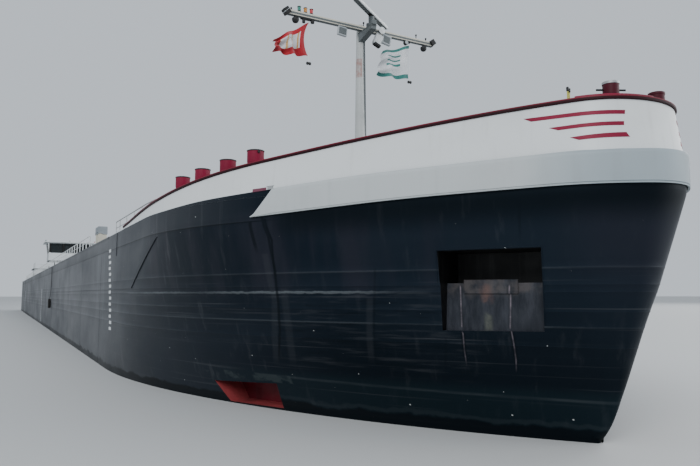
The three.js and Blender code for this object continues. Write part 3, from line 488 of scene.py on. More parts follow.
# A darker copy of the red: painted shade on the red recess's back, fore and head walls.
RED_IN_PAINTED_SHADE = recess_paint("red_recess_painted_shade", (0.115, 0.003, 0.010))
CREAM = painted("cream_paint", (0.56, 0.54, 0.46), GRIME, 0.3, 0.35, 0.5)
DECK_GREY = deck_paint()
ALUMINIUM = aluminium()
BLACK = painted("machine_black", (0.012, 0.013, 0.014), (0.05, 0.05, 0.048), 0.4, 0.2, 0.55, 0.2)
RUBBER = painted("fender_rubber", (0.009, 0.009, 0.009), (0.05, 0.048, 0.045), 0.5, 0.2, 0.8, relief=0.0005)
BRONZE = painted("propeller_bronze", (0.42, 0.27, 0.11), (0.10, 0.16, 0.10), 0.6, 0.1, 0.4, 0.9)
GLASS = glass()
RED_CLOTH = cloth("red_flag_cloth", (0.42, 0.02, 0.03), (0.30, 0.012, 0.02))
GREEN_CLOTH = cloth("green_flag_cloth", (0.045, 0.19, 0.17), (0.03, 0.14, 0.13))
WHITE_CLOTH = cloth("white_flag_cloth", (0.62, 0.64, 0.66), (0.50, 0.52, 0.55))
GOLD_CLOTH = cloth("gold_flag_cloth", (0.55, 0.36, 0.16), (0.46, 0.28, 0.12))
ENGINE = painted("engine_paint", (0.07, 0.10, 0.08), SOOT, 0.4, 0.3, 0.5)
# Near-black painted shade for the inside of the anchor pockets.
HOLLOW_PAINTED_SHADE = recess_paint("anchor_pocket_painted_shade", (0.0015, 0.0018, 0.002))
PLATE = anchor_plate()
GALVANISED = painted("galvanised", (0.36, 0.375, 0.38), (0.16, 0.16, 0.155), 0.5, 0.35, 0.45, 0.5)
LAMP_GREEN = painted("lamp_green", (0.01, 0.17, 0.13), SOOT, 0.2, 0.1, 0.25)
LAMP_RED = painted("lamp_red", (0.42, 0.008, 0.02), SOOT, 0.2, 0.1, 0.25)
LAMP_AMBER = painted("lamp_amber", (0.50, 0.20, 0.02), SOOT, 0.2, 0.1, 0.25)
LAMP_CLEAR = painted("lamp_clear", (0.36, 0.39, 0.41), (0.2, 0.21, 0.22), 0.2, 0.1, 0.15)
# A dark grey for boxes, pipes and the desk, and painted shade on the undersides of the yard and the radar
# scanner.
GREY_AND_UNDER_SHADE = painted("box_grey", (0.10, 0.115, 0.12), (0.06, 0.07, 0.07), 0.4, 0.2, 0.5)
TARPAULIN = painted("tarpaulin", (0.26, 0.29, 0.32), (0.15, 0.17, 0.18), 0.6, 0.3, 0.7, relief=0.002)
YELLOW = painted("post_yellow", (0.45, 0.42, 0.07), SOOT, 0.3, 0.2, 0.5)


def circle(centre, first, second, radius, steps):
    """Points round a centre, in the plane of two directions."""
    turns = [2 * pi * k / steps for k in range(steps)]
    return [centre + (first * cos(turn) + second * sin(turn)) * radius for turn in turns]


class Shape:
    """Points in millimetres and faces of one piece, gathered from simple forms."""

    def __init__(self):
        self.points = []
        self.faces = []
        self.looks = []
        self.at = Matrix.Identity(4)
        self.look = 0

    def add(self, points, faces, looks=None):
        first = len(self.points)
        self.points += [self.at @ Vector(p) for p in points]
        self.faces += [tuple(first + k for k in face) for face in faces]
        self.looks += looks or [self.look] * len(faces)

    def loft(self, rings, closed=True, caps=True, look=None):
        """A skin through rings of equal count. look(row, k) may choose the look of each face."""
        count = len(rings[0])
        around = count if closed else count - 1
        faces = []
        looks = []
        for row in range(len(rings) - 1):
            for k in range(around):
                a = row * count + k
                b = row * count + (k + 1) % count
                faces.append((a, b, b + count, a + count))
                looks.append(look(row, k) if look else self.look)
        if caps:
            last = (len(rings) - 1) * count
            faces.append(tuple(reversed(range(count))))
            faces.append(tuple(last + k for k in range(count)))
            looks += [self.look] * 2
        self.add([p for ring in rings for p in ring], faces, looks)

    def across(self, ring, look):
        """A flat skin over a ring that is the same on both sides of the centreline."""
        count = len(ring)
        faces = [tuple(dict.fromkeys((k, k + 1, count - 2 - k, count - 1 - k))) for k in range(count // 2)]
        faces = [face for face in faces if len(face) > 2]
        self.add(ring, faces, [look] * len(faces))

    def box(self, x0, x1, y0, y1, z0, z1, bevel=0.8):
        """A box with chamfered edges."""
        x0, x1 = sorted((x0, x1))
        y0, y1 = sorted((y0, y1))
        bevel = min(bevel, (x1 - x0) / 2.5, (y1 - y0) / 2.5, (z1 - z0) / 2.5)

        def ring(z, inset, cut):
            a, b = x0 + inset, x1 - inset
            c, d = y0 + inset, y1 - inset
            return [(a + cut, c, z), (b - cut, c, z), (b, c + cut, z), (b, d - cut, z),
                    (b - cut, d, z), (a + cut, d, z), (a, d - cut, z), (a, c + cut, z)]

        self.loft([ring(z0, bevel, bevel * 0.2), ring(z0 + bevel, 0, bevel),
                   ring(z1 - bevel, 0, bevel), ring(z1, bevel, bevel * 0.2)])

    def block(self, x, y, half_length, half_width, low, high, bevel=0.8):
        """A box given by its middle in plan and by half its length and width."""
        self.box(x - half_length, x + half_length, y - half_width, y + half_width, low, high, bevel)

    def upright(self, x, y, low, high, radius, steps=16):
        """A round bar that stands at x and y."""
        self.rod((x, y, low), (x, y, high), radius, steps=steps)

    def lathe(self, profile, base, axis=(0, 0, 1), steps=24, looks=None):
        """Rows of (radius, height) turned about an axis through base; looks gives each row's look."""
        axis = Vector(axis).normalized()
        first = axis.orthogonal().normalized()
        second = axis.cross(first)
        least = 0.01
        rings = []
        for radius, height in profile:
            rings.append(circle(Vector(base) + axis * height, first, second, max(radius, least), steps))
        self.loft(rings, look=(lambda row, k: looks[row]) if looks else None)

    def rod(self, start, end, radius, end_radius=None, steps=16, bevel=0.5):
        """A round bar with slightly rounded ends."""
        span = Vector(end) - Vector(start)
        far = radius if end_radius is None else end_radius
        bevel = min(bevel, span.length / 3, radius / 2, far / 2)
        top = span.length
        profile = [(radius - bevel, 0), (radius, bevel), (far, top - bevel), (far - bevel, top)]
        self.lathe(profile, start, span, steps)

    def tube(self, path, radius, steps=8):
        """A round bar along a path of points."""
        path = [Vector(p) for p in path]
        rings = []
        side = None
        for k, point in enumerate(path):
            run = (path[min(k + 1, len(path) - 1)] - path[max(k - 1, 0)]).normalized()
            side = run.orthogonal() if side is None else side - run * side.dot(run)
            side.normalize()
            rings.append(circle(point, side, run.cross(side), radius, steps))
        self.loft(rings)

    def prism(self, outline, low, high, axis="z"):
        """A flat outline carried from low to high, as rows of (x, y) for z, (x, z) for y, (y, z) for x."""
        def place(row, level):
            a, b = row
            return {"z": (a, b, level), "y": (a, level, b), "x": (level, a, b)}[axis]

        self.loft([[place(row, low) for row in outline], [place(row, high) for row in outline]])


def ellipse(centre, radii, steps, span=2 * pi):
    """Rows of (a, b) round a part of an ellipse, both ends included."""
    (a, b), (wide, tall) = centre, radii
    angles = [span * k / steps for k in range(steps + 1)]
    return [(a + wide * cos(angle), b + tall * sin(angle)) for angle in angles]


def make(name, shape, looks):
    """A mesh object in metres, its seams welded within WELD metres and its faces pointing out."""
    data = bpy.data.meshes.new(name)
    data.from_pydata([p * MM for p in shape.points], [], shape.faces)
    for look in looks:
        data.materials.append(look)
    data.polygons.foreach_set("material_index", shape.looks)
    mesh = bmesh.new()
    mesh.from_mesh(data)
    bmesh.ops.remove_doubles(mesh, verts=mesh.verts, dist=WELD)
    bmesh.ops.recalc_face_normals(mesh, faces=mesh.faces)
    mesh.to_mesh(data)
    mesh.free()
    made = bpy.data.objects.new(name, data)
    SCENE.collection.objects.link(made)
    return made


def piece(name, shape, looks, slot, body="hull", replaces=(), smooth=32, cutters=()):
    """A visible piece: made, carved by its cutters, shaded, and riding on a body."""
    made = make(name, shape, looks)
    if cutters:
        tools = []
        for k, cutter in enumerate(cutters):
            tool = make(f"{name}_cutter_{k}", cutter, looks)
            modifier = made.modifiers.new("carve", "BOOLEAN")
            modifier.operation = "DIFFERENCE"
            modifier.solver = "EXACT"
            modifier.object = tool
            tools.append(tool)
        solid = made.evaluated_get(bpy.context.evaluated_depsgraph_get())
        carved = bpy.data.meshes.new_from_object(solid)
        made.modifiers.clear()
        made.data = carved
        for tool in tools:
            bpy.data.objects.remove(tool)
    made.data.shade_smooth()
    made.data.set_sharp_from_angle(angle=radians(smooth))
    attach(made, body)
    if replaces:
        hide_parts(*replaces)
    return made


# Plan of the bow: straight side, shoulder arc, straight flank and round nose, opening upwards
FULL_RISE = 410
FOREFOOT = {"radius": 268, "start": 5133, "top": 183, "rake": 0.3353, "tip": 5387}
FLANK = {"low": 40, "high": 30}
SHOULDER = {"bottom": 1850, "water": 2450, "high": 1000}
NOSE = {"least": 10, "most": 155, "start": 20, "growth": 0.4, "share": 0.555}
NOSE_TURN = radians(60)
# How far the tip of the stem stands ahead of the plain one, as rows of (z, shift)
STEM_SHIFT = ((0, -3), (100, -4.5), (110, -2.8), (120, -0.8), (130, 1.3), (150, 2.5), (183, 2.3), (220, 3.9),
              (300, 4.7), (340, 7.1), (372, 9), (480, 8.3), (500, 8.3), (510, 11.9), (520, 15.1), (530, 17))
# The bulwark stands on a blunter nose than the hull
BLUNT = {"share": 1.0, "shift": 5}


def clamp(value, low, high):
    return max(low, min(high, value))


def flare(rise):
    """The share of the flare reached at a rise above the water, easing into its end at the foredeck."""
    ease, end = 0.97, 1.03
    share = clamp(rise / FULL_RISE, 0, end)
    return share - max(share - ease, 0) ** 2 / (2 * (end - ease))


def bow_plan(z, blunt=False):
    """The arcs and lines of the bow's plan at one height."""
    rise = z - WATER
    share = flare(rise)
    sunk = clamp(-rise / WATER, 0, 1)
    flank = radians(FLANK["low"] + (FLANK["high"] - FLANK["low"]) * share)
    arc = (SHOULDER["water"] + (SHOULDER["high"] - SHOULDER["water"]) * share
           + (SHOULDER["bottom"] - SHOULDER["water"]) * sunk)
    plain = clamp(NOSE["start"] + (z - FOREFOOT["top"]) * NOSE["growth"], NOSE["least"], NOSE["most"])
    if z < FOREFOOT["top"]:
        tip = FOREFOOT["start"] + FOREFOOT["radius"] * sin(acos(1 - z / FOREFOOT["radius"]))
    else:
        tip = min(BOW, FOREFOOT["tip"] + (z - FOREFOOT["top"]) * FOREFOOT["rake"])
    side = HALF - BILGE + sqrt(BILGE ** 2 - (BILGE - z) ** 2) if z < BILGE else HALF
    apex = tip - plain + plain / sin(flank)
    tip += BLUNT["shift"] if blunt else along(STEM_SHIFT, z)
    nose = plain * (BLUNT["share"] if blunt else NOSE["share"])
    ahead = apex - tip + nose * (1 - sin(NOSE_TURN))
    rise_share = cos(flank) - cos(NOSE_TURN)
    run_share = sin(NOSE_TURN) - sin(flank)
    bend = (ahead * tan(flank) - nose * cos(NOSE_TURN)) / (rise_share - run_share * tan(flank))
    x = apex - ahead - bend * run_share
    y = (apex - x) * tan(flank)
    return {
        "side": side,
        "start": x - (side - y) / tan(flank) - arc * tan(flank / 2),
        "arc": arc,
        "flank": flank,
        "end": (x, y),
        "bend": bend,
        "bend_centre": (x - bend * sin(flank), y - bend * cos(flank)),
        "nose": nose,
        "centre": tip - nose,
    }


def bow_at(x, z, blunt=False):
    """Half breadth at x and the angle by which the outward normal turns forward."""
    plan = bow_plan(z, blunt)
    turn = plan["start"] + plan["arc"] * sin(plan["flank"])
    if x <= plan["start"]:
        return plan["side"], 0.0
    if x <= turn:
        angle = asin((x - plan["start"]) / plan["arc"])
        return plan["side"] - plan["arc"] * (1 - cos(angle)), angle
    end_x, end_y = plan["end"]
    if x <= end_x:
        return end_y + (end_x - x) * tan(plan["flank"]), plan["flank"]
    bend_x, bend_y = plan["bend_centre"]
    if x <= bend_x + plan["bend"] * sin(NOSE_TURN):
        angle = asin((x - bend_x) / plan["bend"])
        return bend_y + plan["bend"] * cos(angle), angle
    reach = min(x - plan["centre"], plan["nose"])
    return sqrt(plan["nose"] ** 2 - reach ** 2), asin(reach / plan["nose"])


STRAIGHT_STEPS = 36
SHOULDER_STEPS = 52
FLANK_STEPS = 36
BEND_STEPS = 14
NOSE_STEPS = 12


def bow_line(z, blunt=False):
    """Rows of (x, half breadth, angle) from the hold's fore end to the tip at one height."""
    plan = bow_plan(z, blunt)
    flank = plan["flank"]
    turn = plan["start"] + plan["arc"] * sin(flank)
    straight = plan["start"] - HOLD_FORE
    rows = [(HOLD_FORE + straight * k / STRAIGHT_STEPS, plan["side"], 0.0) for k in range(STRAIGHT_STEPS)]
    for k in range(SHOULDER_STEPS):
        angle = flank * k / SHOULDER_STEPS
        rows.append((plan["start"] + plan["arc"] * sin(angle),
                     plan["side"] - plan["arc"] * (1 - cos(angle)), angle))
    for k in range(FLANK_STEPS):
        x = turn + (plan["end"][0] - turn) * k / FLANK_STEPS
        rows.append((x, plan["end"][1] + (plan["end"][0] - x) * tan(flank), flank))
    bend_x, bend_y = plan["bend_centre"]
    for k in range(BEND_STEPS):
        angle = flank + (NOSE_TURN - flank) * k / BEND_STEPS
        rows.append((bend_x + plan["bend"] * sin(angle), bend_y + plan["bend"] * cos(angle), angle))
    for k in range(NOSE_STEPS + 1):
        angle = NOSE_TURN + (pi / 2 - NOSE_TURN) * k / NOSE_STEPS
        rows.append((plan["centre"] + plan["nose"] * sin(angle), plan["nose"] * cos(angle), angle))
    return rows


def on_side(x, z, side, out=0.0):
    """The point of the hull's side at x and z, moved outwards."""
    half, angle = bow_at(x, z)
    return (x + out * sin(angle), side * (half + out * cos(angle)), z)


# The plating is dished a little between its frames, and each seam stands out as a bead
PANEL = {"length": 60.0, "height": 95.0, "depth": 0.45}
BEAD = 0.5
dents = random.Random(8)
DENTS = {}


def plating(x, z, side):
    """How far the plating stands out at a place of the side: dished panels and weld beads."""
    key = (int(x // PANEL["length"]), int(z // PANEL["height"]), side)
    if key not in DENTS:
        DENTS[key] = dents.uniform(0.15, 1.0)
    dish = (sin(pi * x / PANEL["length"]) * sin(pi * z / PANEL["height"])) ** 2
    bead = BEAD if z in SEAMS and not (z == DECK and x > BELT_END["aft"]) else 0.0
    return bead - PANEL["depth"] * DENTS[key] * dish


def side_rows(low, high, step=12.0):
    """Heights of a side's rows: even steps, with three close rows at each seam."""
    rows = {low, high}
    for seam in SEAMS:
        if low < seam < high:
            rows |= {seam, seam - SEAM_HALF, seam + SEAM_HALF}
    count = int((high - low) / step)
    for k in range(1, count):
        z = low + (high - low) * k / count
        if all(abs(z - row) > step * 0.4 for row in rows):
            rows.add(round(z, 2))
    return sorted(rows)


def both_sides(line):
    """The rows of half a line, each with its side, from the starboard end round to the port end."""
    return [(-1, row) for row in line] + [(1, row) for row in reversed(line[:-1])]


def plain_steps(start, stop, step):
    """Places from start on, a step apart, that lie before stop."""
    places = []
    while start < stop:
        places.append(start)
        start += step
    return places


def along(rows, x):
    """The value at x on a line given by rows of (x, value)."""
    if x <= rows[0][0]:
        return rows[0][1]
    for (x0, a), (x1, b) in zip(rows, rows[1:]):
        if x <= x1:
            return a + (b - a) * (x - x0) / (x1 - x0)
    return rows[-1][1]


# Pockets of the side: a frame on the flank, and corners as rows of (along, z, depth) from aft low
POCKET_REACH = 40
ANCHOR_POCKET = {"x": 5286, "y": 183, "angle": 32}
ANCHOR_CAVITY = ((-92, 380, 110), (85, 380, 110), (88, 436, 110), (-91, 436, 110))
ANCHOR_PLATE = ((-96, 296, 54), (80, 298, 54), (85, 381, 50), (-91, 381, 50))
RED_RECESS = {"x": 4720, "y": 408, "angle": 20.6}
RED_CAVITY = ((-68, 113, 75), (105, 115, 75), (106, 170, 75), (-105, 159, 75))


def in_pocket(pocket, along_it, z, out, side):
    """A point given along the flank and outwards from a pocket's frame."""
    turn = radians(pocket["angle"])
    x = pocket["x"] + along_it * cos(turn) + out * sin(turn)
    y = pocket["y"] - along_it * sin(turn) + out * cos(turn)
    return (x, side * y, z)


def pocket_cutter(pocket, corners, side, wall_looks, back_look):
    """The hollow of a pocket; looks go round its walls as foot, fore, head and aft."""
    cutter = Shape()
    cutter.look = back_look
    inner = [in_pocket(pocket, u, z, -depth, side) for u, z, depth in corners]
    outer = [in_pocket(pocket, u, z, POCKET_REACH, side) for u, z, depth in corners]
    cutter.loft([inner, outer], look=lambda row, k: wall_looks[k])
    return cutter


def fore_hull():
    """The plating ahead of the hold, closed by its deck, with the anchor pockets and the red recesses."""
    navy, white, deck, red, red_in_shade, hollow, plate = range(7)
    rows = sorted({0, 3, 8, 14, 20, 30, 515, 520, 526, 532, *side_rows(BILGE, FOREDECK)})
    shape = Shape()
    rings = []
    for z in rows:
        line = bow_line(z)
        ring = []
        for side, (x, half, angle) in both_sides(line):
            out = plating(x, z, side)
            ring.append((x + out * sin(angle), side * (half + out * cos(angle)), z))
        rings.append(ring)

    aft_face = len(rings[0]) - 1
    shape.loft(rings, caps=False, look=lambda row, k: white if k == aft_face and rows[row] >= DECK else navy)
    shape.across(rings[0], navy)
    shape.across(rings[-1], deck)
    cutters = []
    for _, side in SIDES:
        cutters += [
            # The anchor cavity and the plate's side walls are near-black as painted shade.
            pocket_cutter(ANCHOR_POCKET, ANCHOR_CAVITY, side, (hollow,) * 4, hollow),
            pocket_cutter(ANCHOR_POCKET, ANCHOR_PLATE, side, (plate, hollow, hollow, hollow), plate),
            # The red recess's back, fore and head walls take the red's darker copy as painted shade.
            pocket_cutter(RED_RECESS, RED_CAVITY, side, (red, red_in_shade, red_in_shade, red), red_in_shade),
        ]
    piece("fore_hull_plating", shape, [NAVY, WHITE, DECK_GREY, RED, RED_IN_PAINTED_SHADE, HOLLOW_PAINTED_SHADE, PLATE], "hull_navy",
          replaces=["fore_hull"], cutters=cutters)


def side_tanks():
    """The double sides of the hold: dished plating outside with beads at the seams and the butts."""
    navy, deck, bare = range(3)
    butt, butt_shift = 600, 0.2
    pitch, least_gap = 15, 8
    bilge_steps = 7
    aft, fore = HOLD_AFT + GAP, HOLD_FORE - GAP
    rows = side_rows(BILGE, DECK, 16)
    angles = [pi / 2 * k / bilge_steps for k in range(bilge_steps)]
    bilge = [(HALF - BILGE + BILGE * sin(angle), BILGE - BILGE * cos(angle)) for angle in angles]
    stations = [(x, 0.0) for x in plain_steps(aft, fore - least_gap, pitch)]
    stations.append((fore, 0.0))
    for k in range(int(HOLD_AFT // butt) + 1, int(HOLD_FORE // butt) + 1):
        middle = k * butt + butt_shift
        stations += [(middle - SEAM_HALF, 0.0), (middle, BEAD), (middle + SEAM_HALF, 0.0)]
    for name, side in SIDES:
        rings = []
        for x, bead in sorted(stations):
            outside = [(HALF + max(plating(x, z, side), bead), z) for z in rows]
            ring = [(HOLD_HALF, 0), *bilge, *outside, (HOLD_HALF, DECK)]
            rings.append([(x, side * y, z) for y, z in ring])
        shape = Shape()
        top = len(rings[0]) - 2
        shape.loft(rings, look=lambda row, k: {top: deck, top + 1: bare}.get(k, navy))
        piece(f"side_plating_{name}", shape, [NAVY, DECK_GREY, GALVANISED], "hull_navy",
              replaces=[f"side_tank_{name}"])


STERN_CORNER = 260
RUN = ((-5499, 80), (-5400, 80), (-5050, 34), (-4700, 0), (-3900, 0))
SHAFT = {"y": 270, "z": 92, "x": -5050}
TUNNEL = {"radius": 94, "start": -4660, "full": -4860}
ENGINE_ROOM = {"aft": -4680, "fore": -4060, "half": 420, "floor": 60}


def stern_line(fore, step=16.0):
    """Half of the stern's plan from fore to the centreline aft, as rows of (x, y, normal x, normal y)."""
    corner_steps, end_steps = 22, 8
    start = STERN + STERN_CORNER
    width = HALF - STERN_CORNER
    count = max(2, int((fore - start) / step))
    rows = [(fore + (start - fore) * k / count, HALF, 0.0, 1.0) for k in range(count)]
    for k in range(corner_steps + 1):
        angle = pi / 2 * k / corner_steps
        aft, out = sin(angle), cos(angle)
        rows.append((start - STERN_CORNER * aft, width + STERN_CORNER * out, -aft, out))
    rows += [(STERN, width * (1 - k / end_steps), -1.0, 0.0) for k in range(1, end_steps + 1)]
    return rows


def aft_hull():
    """The hull behind the hold: round stern corners, a rising bottom and the two screw tunnels."""
    navy, deck = 0, 1
    line = stern_line(HOLD_AFT)
    rows = sorted({0, 3, 8, 14, 20, 30, *side_rows(BILGE, DECK, 18)})
    rings = []
    for z in rows:
        ring = []
        for side, (x, half, nx, ny) in both_sides(line):
            bottom = along(RUN, x)
            height = bottom + (DECK - bottom) * z / DECK
            depth = max(BILGE - (height - bottom), 0.0)
            inset = BILGE - sqrt(BILGE ** 2 - depth ** 2)
            out = plating(x, z, side) * ny ** 2 - inset
            ring.append((x + out * nx, side * max(half + out * ny, 0.0), height))
        rings.append(ring)
    shape = Shape()
    shape.loft(rings, caps=False)
    shape.across(rings[0], navy)
    shape.across(rings[-1], deck)
    cutters = []
    radius = TUNNEL["radius"]
    past = 12
    foot = -SHAFT["z"] - past
    outline = [*ellipse((0, 0), (radius, radius), 20, pi), (-radius, foot), (radius, foot)]
    sections = ((STERN - past, 0, 1), (TUNNEL["full"], 0, 1), (TUNNEL["start"], SHAFT["z"], 0.25))
    for _, side in SIDES:
        y = side * SHAFT["y"]
        rings = []
        for x, drop, size in sections:
            rings.append([(x, y + a * size, max(SHAFT["z"] + b * size - drop, -past)) for a, b in outline])
        cutter = Shape()
        cutter.loft(rings)
        cutters.append(cutter)
    room = Shape()
    half = ENGINE_ROOM["half"]
    room.box(ENGINE_ROOM["aft"], ENGINE_ROOM["fore"], -half, half, ENGINE_ROOM["floor"], DECK + 5)
    cutters.append(room)
    piece("aft_hull_plating", shape, [NAVY, DECK_GREY], "hull_navy", replaces=["aft_hull"], cutters=cutters)


# Sheer lines of the bow, as rows of (x, height above water)
BELT_LOW = ((4525, 400), (4695, 403), (4895, 409), (5055, 416), (5175, 420), (5400, 420), (5510, 418))
BELT_HIGH = ((4585, 451), (4685, 457), (4825, 460), (5025, 470), (5105, 473))
RAIL_LINE = ((4060, 453), (4130, 459.5), (4288, 470.5), (4474, 479.5), (4608, 494), (4733, 508),
             (4909, 525), (5086, 540.5), (5250, 550.5), (5395, 554.5), (5500, 553))
BULWARK = {"places": (4060, 4130, 4288), "thickness": 8, "lean": 0.13}
BRACKETS = {"aft": 4120.0, "fore": 5440, "close_until": 4300, "close_pitch": 60, "pitch": 65, "width": 26,
            "reach": 0.8}
KERB = {"aft": 3850, "length": 209, "low": 1.2, "growth": 4.8}
BELT_END = {"aft": 4868, "slant": 48, "least": 0.04}
# How far the belt's top reaches inwards, to the foot of the blunter bulwark
BELT_LEDGE = ((5440, -0.8), (5475, 2), (5485, 4.5), (5495, 8), (5505, 12), (5510, 15))
BELT_BULGE = ((5300, 7), (5440, 5.5))
# The belt's section: rows of (inset, rise) for its grooved lip and of (inset, share) for its rounded top
BELT_LIP = ((1.6, 0.8), (1.2, 2.6), (2.4, 3.1), (1.1, 3.8))
BELT_ROUNDING = ((0, 0), (0.4, 0.45), (2.5, 0.8))
CAP = {"out": 3, "width": 11, "height": 7}


def soft_line(rows):
    """The same line with its corners rounded, by averaging over a short stretch."""
    reach = 70

    def value(x):
        return sum(along(rows, x + reach * k / 3) for k in range(-3, 4)) / 7

    return value


belt_low = soft_line(BELT_LOW)
belt_high = soft_line(BELT_HIGH)
rail_line = soft_line(RAIL_LINE)


def bulwark_top(x):
    return WATER + rail_line(x)


def rim(places, blunt=True):
    """Stations round the bow from starboard aft to port aft, as rows of (x, y, normal x, normal y)."""
    rows = [(x, *bow_at(x, FOREDECK, blunt)) for x in places]
    rows += [row for row in bow_line(FOREDECK, blunt) if row[0] > max(places) + 2]
    return [(x, side * half, sin(angle), side * cos(angle)) for side, (x, half, angle) in both_sides(rows)]


def strip(shape, stations, section, look=None):
    """A strip along a row of stations; section(x) is a closed outline of (inset, z)."""
    rings = []
    for x, y, nx, ny in stations:
        rings.append([(x - nx * inset, y - ny * inset, z) for inset, z in section(x)])
    shape.loft(rings, look=(lambda row, k: look(stations[row][0], k)) if look else None)


def on_bulwark(x, z, side, out=0.0):
    """A point on the outside of the bulwark, moved outwards."""
    half, angle = bow_at(x, FOREDECK, blunt=True)
    reach = out - BULWARK["lean"] * (z - FOREDECK)
    return (x + reach * sin(angle), side * (half + reach * cos(angle)), z)


def bulwark():
    """The bulwark round the foredeck, dark below its paint line, with brackets and a kerb inside it."""
    lean = BULWARK["lean"]
    foot = FOREDECK + GAP
    shares = (0.0, 0.25, 0.5, 0.75, 1.0)
    dark_end = BELT_END["aft"] + 60

    def section(x):
        top = bulwark_top(x)
        line = clamp(WATER + belt_high(x), foot + 0.7, top - 2)
        outer = [(GAP + lean * (z - foot), z) for z in [foot] + [line + (top - line) * s for s in shares]]
        back = lean * (top - foot) + 3
        return [*outer, (back, top), (back + 0.1, top - 6), (6, foot + 8), (BULWARK["thickness"], foot)]

    shape = Shape()
    white, navy = 0, 1
    strip(shape, rim(BULWARK["places"]), section, lambda x, k: navy if k == 0 and x < dark_end else white)
    bracket_x = BRACKETS["aft"]
    while bracket_x < BRACKETS["fore"]:
        for _, side in SIDES:
            half, angle = bow_at(bracket_x, FOREDECK, blunt=True)
            nx, ny = sin(angle), side * cos(angle)
            top = foot + (bulwark_top(bracket_x) - foot) * BRACKETS["reach"]
            back = lean * (top - foot)
            width = BRACKETS["width"]
            rows = ((5, foot), (width, foot), (width, foot + 4), (back + 7, top), (back + 3, top))
            rings = []
            for shift in (-side, side):
                x, y = bracket_x + ny * shift, side * half - nx * shift
                rings.append([(x - nx * inset, y - ny * inset, z) for inset, z in rows])
            shape.loft(rings)
        bracket_x += BRACKETS["pitch"] if bracket_x > BRACKETS["close_until"] else BRACKETS["close_pitch"]
    piece("bulwark_plating", shape, [WHITE, NAVY], "white_paint", replaces=["bow_bulwark"])
    kerb = Shape()
    steps = 11
    for _, side in SIDES:
        rings = []
        for k in range(steps + 1):
            x = KERB["aft"] + KERB["length"] * k / steps
            half = bow_at(x, FOREDECK)[0]
            top = foot + KERB["low"] + KERB["growth"] * k / steps
            rows = ((0.4, foot), (8, foot), (8, top), (0.4, top))
            rings.append([(x, side * (half - inset), z) for inset, z in rows])
        kerb.loft(rings)
    piece("bulwark_kerb", kerb, [WHITE], "white_paint")


def cap_rail():
    """The dark rail on the bulwark with a red strip along its upper outer edge."""
    def section(x):
        top = bulwark_top(x)
        outer = BULWARK["lean"] * (top - FOREDECK) - CAP["out"]
        inner = outer + CAP["width"]
        low, high = top + GAP, top + CAP["height"]
        return [(outer + 1, low), (outer, low + 1), (outer, high - 2.4), (outer + 0.3, high - 0.7),
                (outer + 1.4, high), (inner - 1, high), (inner, high - 1), (inner, low)]

    maroon, red = 0, 1
    wide_until = 4500

    def look(x, k):
        return red if k in (2, 3, 4) or (k == 5 and x < wide_until) else maroon

    shape = Shape()
    strip(shape, rim(BULWARK["places"]), section, look)
    piece("cap_rail", shape, [MAROON, RAIL_RED], "maroon_paint", replaces=["bulwark_cap_rail"])


def belt():
    """The pale raised belt round the bow, with its slanted aft end."""
    def section(x):
        grown = clamp((x - BELT_END["aft"]) / BELT_END["slant"], BELT_END["least"], 1)
        low = WATER + belt_low(x)
        high = low + (WATER + belt_high(x) - low) * grown
        shoulder = max(high - 8, low + 5 * grown)
        rounding = high - shoulder
        face = -along(BELT_BULGE, x)
        inner = along(BELT_LEDGE, x)
        lower = [(face + inset, low + rise * grown) for inset, rise in BELT_LIP]
        upper = [(face + inset, shoulder + rounding * share) for inset, share in BELT_ROUNDING]
        return [(-0.8, low + 1), (-4.2, low + 0.1), *lower, *upper, (inner, high), (inner, high - 3),
                (-0.8, high - 3.2)]

    places = [BELT_END["aft"] + BELT_END["slant"] * k / 6 for k in range(7)]
    shape = Shape()
    strip(shape, rim(places, blunt=False), section)
    piece("belt_plating", shape, [BELT], "belt_grey", replaces=["bow_belt"])


def decal(shape, columns, surface, side, proud=0.3):
    """A thin painted strip on a surface; each column is its rows of (x, z) from foot to head."""
    rings = []
    for column in columns:
        front = [surface(x, z, side, proud) for x, z in column]
        back = [surface(x, z, side, -proud) for x, z in reversed(column)]
        rings.append(front + back)
    shape.loft(rings)


# Speed stripes: the aft tip's head and foot, and the fore end's head and foot, as (x, z)
STRIPES = (
    ((5357.4, 647.6), (5368.0, 641.2), (5482.3, 645.2), (5481.8, 638.7)),
    ((5393.1, 626.1), (5405.3, 620.3), (5480.6, 626.7), (5480.3, 620.4)),
    ((5421.3, 605.9), (5433.2, 600.1), (5481.5, 609.0), (5483.7, 601.5)),
)


def stripes():
    """Three crimson stripes on each bow, pointed aft."""
    steps = 16
    for name, side in SIDES:
        shape = Shape()
        for tip, foot, end_head, end_foot in STRIPES:
            columns = []
            for k in range(steps + 1):
                share = k / steps
                head = Vector(tip).lerp(Vector(end_head), share)
                low = Vector(tip).lerp(Vector(foot), min(share * 8, 1.0))
                if share * 8 > 1:
                    low = Vector(foot).lerp(Vector(end_foot), (share - 0.125) / 0.875)
                middle = low.lerp(head, 0.5)
                columns.append([tuple(low), tuple(middle), tuple(head)])
            decal(shape, columns, on_bulwark, side)
        piece(f"speed_stripes_{name}", shape, [CRIMSON], "crimson_paint")


# Draught marks: x at the top of the column, its foot and head, and its slant
DRAUGHT_MARKS = ((3800, 243, 522, 0.237), (0, 133, 400, 0.0), (-3700, 133, 400, 0.0))


